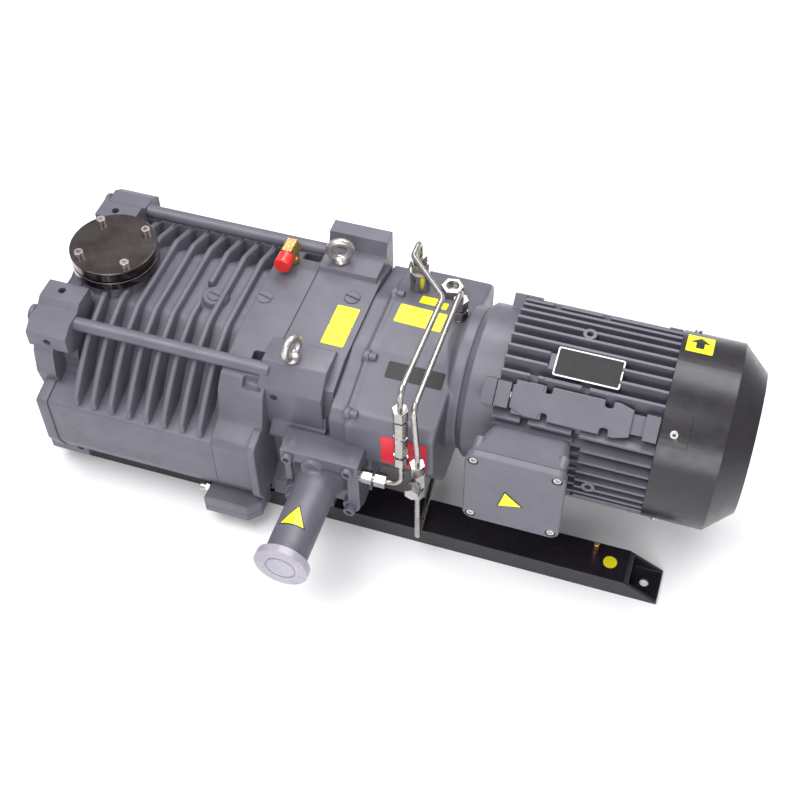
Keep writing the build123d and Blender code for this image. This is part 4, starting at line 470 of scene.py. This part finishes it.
# ------------------------------------------------------------------------------ gear casing
SPIGOT_X, SPIGOT_END, SPIGOT_R = 106, 117.5, 77.5
NECK_END, NECK_DEPTH, RIM_X, RIM_PROUD, MAIN_X = 14, 2.6, (10.5, 16.5), 1.2, 13
GEAR_HALF = [(36, FIN_TOP), (108, 189), (118, 177), (118, 128), (75, 62)]
SEAM_SCREWS = [(-110, 187), (47, 206.5), (-47, 206.5), (110, 187), (-50, 62), (50, 62)]
ROOF_BOSSES = ((34, 68, 200, 12), (70, 70, 199, 12), (90, 31, 208, 9))


def gearbox_skin():
    """Gear casing: recessed neck at the seam, narrow rim, main body, bosses and round spigot."""
    main = both_sides(GEAR_HALF, (30, 12, 10, 14, 4))
    bm = bmesh.new()
    add_prism(bm, GEARBOX_X + 0.1, NECK_END, inset(main, NECK_DEPTH), 0.6)
    add_prism(bm, *RIM_X, inset(main, -RIM_PROUD), 1.4)
    add_prism(bm, MAIN_X, SPIGOT_X, main, 4, 4)
    add_turned(bm, along_place(0, 0, SHAFT_Z),
               [(54, SPIGOT_X - 18), (60, SPIGOT_X - 11), (76, SPIGOT_X - 3), (SPIGOT_R, SPIGOT_X - 1),
                (SPIGOT_R, SPIGOT_END - 1), (SPIGOT_R - 1, SPIGOT_END)], 96)
    for x, y, z, radius in ROOF_BOSSES:
        add_turned(bm, upright_place(x, y), [(radius, z - 14), (radius, z - 0.6), (radius - 0.8, z)])
    for y, z in SEAM_SCREWS:
        add_turned(bm, along_place(0, y, z), [(6.5, 9), (6.5, 15), (6, 16)])
    add_block(bm, (9.5, -111.8, 63), (35.5, -60, 142))
    add_prism(bm, 9.5, 33, rounded([(-106, 166), (-112, 150), (-112, 120), (-90, 120), (-90, 166)],
                                   (8, 6, 1, 1, 1)), 3)
    blended("gearbox_skin", bm, "gearbox_casing", 1.3, 5)


# ------------------------------------------------------------------------------ exhaust manifold
MANIFOLD_X, MANIFOLD_Z, MANIFOLD_BACK, MANIFOLD_DEEP = (-54, 33), (60, 145), -113, 32
MANIFOLD_SCREWS = [(-10.5 + sx * 33, 102.5 + sz * 33) for sx in (-1, 1) for sz in (-1, 1)]
FLANGE_DEEP, SHELF_THICK, RIGHT_WALL, LEFT_WALL = 19, 15, 13, 9
PIPE_X, PIPE_Z, PIPE_R, PIPE_BORE_R, PIPE_RIM_R, PIPE_END = -11.5, 104, 22.25, 19.5, 27.2, -254


def manifold_skin():
    """Exhaust manifold: flange block with a shelf on top, walls, screw posts, boss and pipe."""
    low_x, high_x = MANIFOLD_X
    low_z, high_z = MANIFOLD_Z
    back, front = MANIFOLD_BACK, MANIFOLD_BACK - MANIFOLD_DEEP
    bm = bmesh.new()
    add_block(bm, (low_x, back - FLANGE_DEEP, low_z + 3), (high_x, back, high_z))
    add_block(bm, (low_x + 2, front, high_z - SHELF_THICK), (high_x, back, high_z))
    add_block(bm, (high_x - RIGHT_WALL, front + 2, low_z + 12), (high_x, back, high_z))
    add_block(bm, (low_x + 1, front + 9, low_z + 22), (low_x + LEFT_WALL, back, high_z))
    for x, z in MANIFOLD_SCREWS:
        add_turned(bm, facing_place(x, z, back), [(10.5, 0), (10.5, 18), (9.5, MANIFOLD_DEEP - 3)])
    add_turned(bm, facing_place(-17, high_z - 16, back), [(11.5, 0), (11.5, 34), (10.5, 36.2)])
    add_turned(bm, facing_place(PIPE_X, PIPE_Z, back),
               [(36, 0), (34.5, 16), (29, 23), (25.2, 31), (23.2, 42), (PIPE_R, 56), (PIPE_R, 135),
                (PIPE_RIM_R, 135.5), (PIPE_RIM_R, back - PIPE_END - 0.4)], 72)
    manifold = blended("manifold_skin", bm, "exhaust_manifold", 1.0, 7)
    bore = bmesh.new()
    add_turned(bore, facing_place(PIPE_X, PIPE_Z, back - 14), [(PIPE_BORE_R, 0), (PIPE_BORE_R, 140)], 48)
    carve(manifold, bore)


# ------------------------------------------------------------------------------ headplate
BLOCK_SIDE = -108.2
BLOCK_BOTTOM, BLOCK_TOP, BLOCK_END_X, FOOT_END_X = 136.8, 213.2, -16.8, -14
SIDE_HOLE_X, SIDE_HOLE_Z, SIDE_HOLE_R = -69.5, 180, 4.2


def headplate_block():
    """Front block of the headplate, wider to the left, with its side hole and a low web at its foot."""
    section = rounded([(-60, 150), (-90, 130), (BLOCK_SIDE, BLOCK_BOTTOM), (BLOCK_SIDE, 192),
                       (-87.5, BLOCK_TOP), (-56, BLOCK_TOP), (-50, 200)], (1.5, 1.5, 1.5, 1.5, 1.5, 2, 1.5))
    bm = bmesh.new()
    add_prism(bm, HEAD_X - 9.5, BLOCK_END_X, section, 0.9)
    hole = bmesh.new()
    add_turned(hole, facing_place(SIDE_HOLE_X, SIDE_HOLE_Z, -95), [(SIDE_HOLE_R, 0), (SIDE_HOLE_R, 20)], 32)
    casting("headplate_block", bm, "casting", cuts=[hole])
    foot = bmesh.new()
    web = rounded([(-60, 160), (-60, 128), (-119, 128), (-119, 133), (-108, 145), (-106, 160)],
                  (1.5, 1.5, 2, 3, 10, 1.5))
    add_prism(foot, HEAD_X + 3, FOOT_END_X, web, 1)
    casting("headplate_foot", foot, "casting")


def housing_screw_heads():
    """Socket heads of the manifold's screws and the small ones along the gearbox seam."""
    bm = bmesh.new()
    for x, z in MANIFOLD_SCREWS:
        add_turned(bm, facing_place(x, z, -140), [(6.2, 0), (6.2, 9.5), (5.6, 10.3), (3.4, 10.3), (3.2, 6)])
    for y, z in SEAM_SCREWS:
        add_turned(bm, along_place(14, y, z + 0.6), [(4.4, 0), (4.4, 8.5), (3.8, 9.2), (2.2, 9.2), (2, 6.2)])
    heads = finish_mesh("housing_screw_heads", bm, looks["casting"], "housing")
    smooth(heads)
    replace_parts(heads, "housing_screws")


# ------------------------------------------------------------------------------ motor pads
PAD_HALF, PAD_X, PAD_FULL_X, PAD_BASE_R, PAD_TOP_R = 17.5, (170, 291), (186, 277), 90.5, 96.2
NOTCH_X, NOTCH_HALF, NOTCH_DEEP = (205, 266), 4.2, 7.5


def motor_pads():
    """Machined pads for clip-on feet: wide strips along the motor with two pairs of round notches."""
    side, radii = [(PAD_X[0], PAD_HALF - 6), (PAD_FULL_X[0], PAD_HALF)], [1.5, 3]
    for x in NOTCH_X:
        left, right, root = x - NOTCH_HALF, x + NOTCH_HALF, PAD_HALF - NOTCH_DEEP
        side += [(left, PAD_HALF), (left, root), (right, root), (right, PAD_HALF)]
        radii += [1.3, 4, 4, 1.3]
    side += [(PAD_FULL_X[1], PAD_HALF), (PAD_X[1], PAD_HALF - 4)]
    radii += [3, 1.5]
    outline = rounded([(x, -y) for x, y in side] + side[::-1], radii + radii[::-1])
    bm = bmesh.new()
    for turn in (45, 135, 225, 315):
        add_plate(bm, around_shaft(turn), outline, PAD_BASE_R, PAD_TOP_R, 0.8)
    casting("motor_pads", bm, "motor_paint")


# ------------------------------------------------------------------------------ lifting eyes
EYE_RING_R, EYE_BAR_R, EYE_FOOT, EYE_RISE = 11.8, 4.3, 13, 16


def lifting_eye_pair():
    """Two ring eyes on round feet, each turned as it was screwed home."""
    low, high = (Vector(corner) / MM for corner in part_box("lifting_eyes"))
    bm = bmesh.new()
    for y, turn in ((low.y + 14, 74), (high.y - 16, 18)):
        foot = upright_place((low.x + high.x) / 2, y, low.z + EYE_FOOT)
        add_turned(bm, foot, [(8.5, 0), (9.1, 0.7), (8.8, 3), (7.2, 5.2), (5, 7.5)])
        tilt = Matrix.Rotation(math.radians(turn), 4, "Z") @ Matrix.Rotation(math.radians(90), 4, "X")
        add_torus(bm, foot @ upright_place(0, 0, EYE_RISE) @ tilt, EYE_RING_R, EYE_BAR_R)
    eyes = finish_mesh("lifting_eye_rings", bm, looks["zinc"], "housing")
    smooth(eyes, 50)
    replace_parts(eyes, "lifting_eyes")


lifting_eye_pair()
stator_skin()
stage_skin()
gearbox_skin()
manifold_skin()
headplate_block()
housing_screw_heads()
motor_pads()


# ------------------------------------------------------------------------------ stickers and plates
def decal(name, carrier, centre, across, up, outline, look, cuts=0, lift=0.12, thick=0.22):
    """Thin closed patch of the outline, along across and up, laid onto a node or a piece."""
    surface_mesh = nodes[carrier].data if carrier in nodes else bpy.data.objects[carrier].data
    tree = BVHTree.FromPolygons([v.co for v in surface_mesh.vertices],
                                [tuple(p.vertices) for p in surface_mesh.polygons])
    centre, across, up = Vector(centre) * MM, Vector(across).normalized(), Vector(up)
    out = across.cross(up).normalized()
    up = out.cross(across).normalized()
    bm = bmesh.new()
    face = bm.faces.new([bm.verts.new((x * MM, y * MM, 0)) for x, y in outline])
    if cuts:
        bmesh.ops.triangulate(bm, faces=[face])
        bmesh.ops.subdivide_edges(bm, edges=bm.edges[:], cuts=cuts, use_grid_fill=True)
    above = out * 30 * MM
    for vert in bm.verts:
        flat = centre + across * vert.co.x + up * vert.co.y
        hit = tree.ray_cast(flat + above, -out, 80 * MM)[0]
        vert.co = (hit if hit else flat) + out * lift * MM
    made = bmesh.ops.extrude_face_region(bm, geom=bm.faces[:])
    bmesh.ops.translate(bm, vec=out * thick * MM,
                        verts=[v for v in made["geom"] if isinstance(v, bmesh.types.BMVert)])
    return finish_mesh(name, bm, looks[look], "housing")


def sticker(name, carrier, centre, size, look, across=(1, 0, 0), up=(0, 1, 0), corner=1.5, lift=0.12,
            cuts=0):
    """Blank rounded label."""
    return decal(name, carrier, centre, across, up, rectangle(*size, corner), look, cuts, lift)


def warning_triangle(name, carrier, centre, across, up, side, cuts=0):
    """Blank yellow triangle with a dark border."""
    decal(name, carrier, centre, across, up, triangle(side), "black_vinyl", cuts)
    decal(name + "_face", carrier, centre, across, up, triangle(side - 4), "yellow_vinyl",
          cuts, 0.4)


ROOF_UP, BACK_ROOF_UP, FRONT_UP = (0, 0.96, 0.27), (0, 0.96, -0.27), (0, 0, 1)
sticker("gearbox_label", "gearbox_skin", (50, 18, 209), (52, 26.5), "yellow_vinyl", across=(1, -0.03, 0))
sticker("gearbox_label_small", "gearbox_skin", (50.5, 47, 206), (18, 15), "yellow_vinyl", up=BACK_ROOF_UP)
sticker("gearbox_label_end", "gearbox_skin", (69.5, 43, 207), (6, 13), "yellow_vinyl", up=BACK_ROOF_UP)
sticker("gearbox_plate", "gearbox_skin", (67, -55.4, 203.6), (61, 19), "black_vinyl", up=ROOF_UP)
sticker("gearbox_warning", "gearbox_skin", (74.5, -122, 152.5), (49, 43), "red_vinyl", up=FRONT_UP)
for k, y in enumerate((-2, -30.5)):
    sticker(f"headplate_label_{k}", "headplate", (-27.5, y, 207), (25, 28), "yellow_vinyl")
# dark disc of painted shade laid on the headplate inside the shallow side hole, standing for the shaded
# depth of the hole
sticker("block_hole_floor", "headplate", (SIDE_HOLE_X, -108, SIDE_HOLE_Z), (8.2, 8.2), "shadow",
        up=FRONT_UP, corner=4, lift=0.02)
COWL_LABEL_AT, COWL_LABEL_UP = (337, 33, 248), (0, 0.94, -0.34)
sticker("cowl_label", "fan_cowl", COWL_LABEL_AT, (27, 35), "yellow_vinyl", up=COWL_LABEL_UP, cuts=5)

# motor nameplate, tilted towards the front and resting on its two strips
plate_place = around_shaft(20) @ upright_place(238, 3, 95.6)


def flat_plate(name, size, corner, lift, thick, look):
    """Flat plate over the motor's fins."""
    bm = bmesh.new()
    add_plate(bm, plate_place, rectangle(*size, corner), lift, lift + thick)
    return finish_mesh(name, bm, looks[look], "housing")


flat_plate("nameplate", (67, 31), 2, 0, 0.8, "pale_vinyl")
flat_plate("nameplate_face", (64, 28), 1.5, 0.8, 0.15, "black_vinyl")
sticker("earth_disc", "base_rail_front", (299, -98, 24), (15, 15), "yellow_vinyl", corner=7.4)
sticker("cowl_patch", "fan_cowl", (333, -67, 228), (28, 33), "black_paint",
        up=(0, 0.78, 0.62), corner=0.6, cuts=5, lift=0.3)
decal("cowl_arrow", "fan_cowl", COWL_LABEL_AT, (1, 0, 0), COWL_LABEL_UP, arrow(21, 19, 8),
      "black_vinyl", 0, 0.6)
warning_triangle("pipe_triangle", "manifold_skin", (-12.5, -209, 126), (1, 0, 0.02), (0, 1, 0), 29, 6)
lid_turn = math.radians(16)
warning_triangle("lid_triangle", "terminal_lid", (190.2, -139, 146.4),
                 (math.cos(lid_turn), 0, math.sin(lid_turn)),
                 (-math.sin(lid_turn), 0, math.cos(lid_turn)), 28)


# ------------------------------------------------------------------------------ stage
# name, place, target, size and power of each soft light, in metres and watts
LIGHTS = (("key", (-0.5, -0.5, 1.7), (0, 0, 0.1), (1.6, 0.9), 28),
          ("top", (0.3, 0.7, 1.6), (0.05, 0, 0.1), (1.8, 0.7), 26),
          ("front", (0.5, -1.7, 0.7), (0.05, 0, 0.1), (1.2, 0.8), 16))
CAMERA_AT, CAMERA_LENS = (0.3285, -0.8861, 1.2223), 59.08
CAMERA_YAW, CAMERA_PITCH, CAMERA_ROLL = (math.radians(a) for a in (18.51, 50.536, 0.87))


def lay_floor():
    """Large pale floor just under the rails."""
    bm = bmesh.new()
    bmesh.ops.create_grid(bm, x_segments=2, y_segments=2, size=6)
    mesh = bpy.data.meshes.new("floor")
    bm.to_mesh(mesh)
    bm.free()
    floor = bpy.data.objects.new("floor", mesh)
    floor.location.z = -0.0005
    bpy.context.scene.collection.objects.link(floor)
    wear(floor, surface("floor_paint", (0.86, 0.86, 0.87), (0.89, 0.89, 0.9), (0.6, 0.7), blotch=2))


def light_studio():
    """Even pale surroundings and soft lights."""
    world = bpy.data.worlds.new("studio")
    bpy.context.scene.world = world
    world.use_nodes = True
    world.node_tree.nodes["Background"].inputs["Color"].default_value = (0.97, 0.98, 1.0, 1)
    world.node_tree.nodes["Background"].inputs["Strength"].default_value = 0.62
    for name, place, target, size, power in LIGHTS:
        light = bpy.data.lights.new(name, "AREA")
        light.shape = "RECTANGLE"
        light.size, light.size_y = size
        light.energy = power
        lamp = bpy.data.objects.new(name, light)
        lamp.location = place
        lamp.rotation_euler = (Vector(target) - Vector(place)).to_track_quat("-Z", "Y").to_euler()
        bpy.context.scene.collection.objects.link(lamp)


def place_camera():
    """Camera that looks down at the set from its front right."""
    yaw, pitch, roll = CAMERA_YAW, CAMERA_PITCH, CAMERA_ROLL
    camera = bpy.data.cameras.new("camera")
    camera.lens = CAMERA_LENS
    camera.sensor_width = 36.0
    camera.clip_start = 0.01
    eye = bpy.data.objects.new("camera", camera)
    forward = Vector((-math.sin(yaw) * math.cos(pitch), math.cos(yaw) * math.cos(pitch), -math.sin(pitch)))
    right = Vector((math.cos(yaw), math.sin(yaw), 0))
    upward = right.cross(forward)
    right, upward = (right * math.cos(roll) - upward * math.sin(roll),
                     upward * math.cos(roll) + right * math.sin(roll))
    turn = Matrix((right, upward, -forward)).transposed()
    eye.matrix_world = Matrix.Translation(CAMERA_AT) @ turn.to_4x4()
    bpy.context.scene.collection.objects.link(eye)
    bpy.context.scene.camera = eye


lay_floor()
light_studio()
place_camera()
bpy.context.scene.view_settings.view_transform = "Standard"
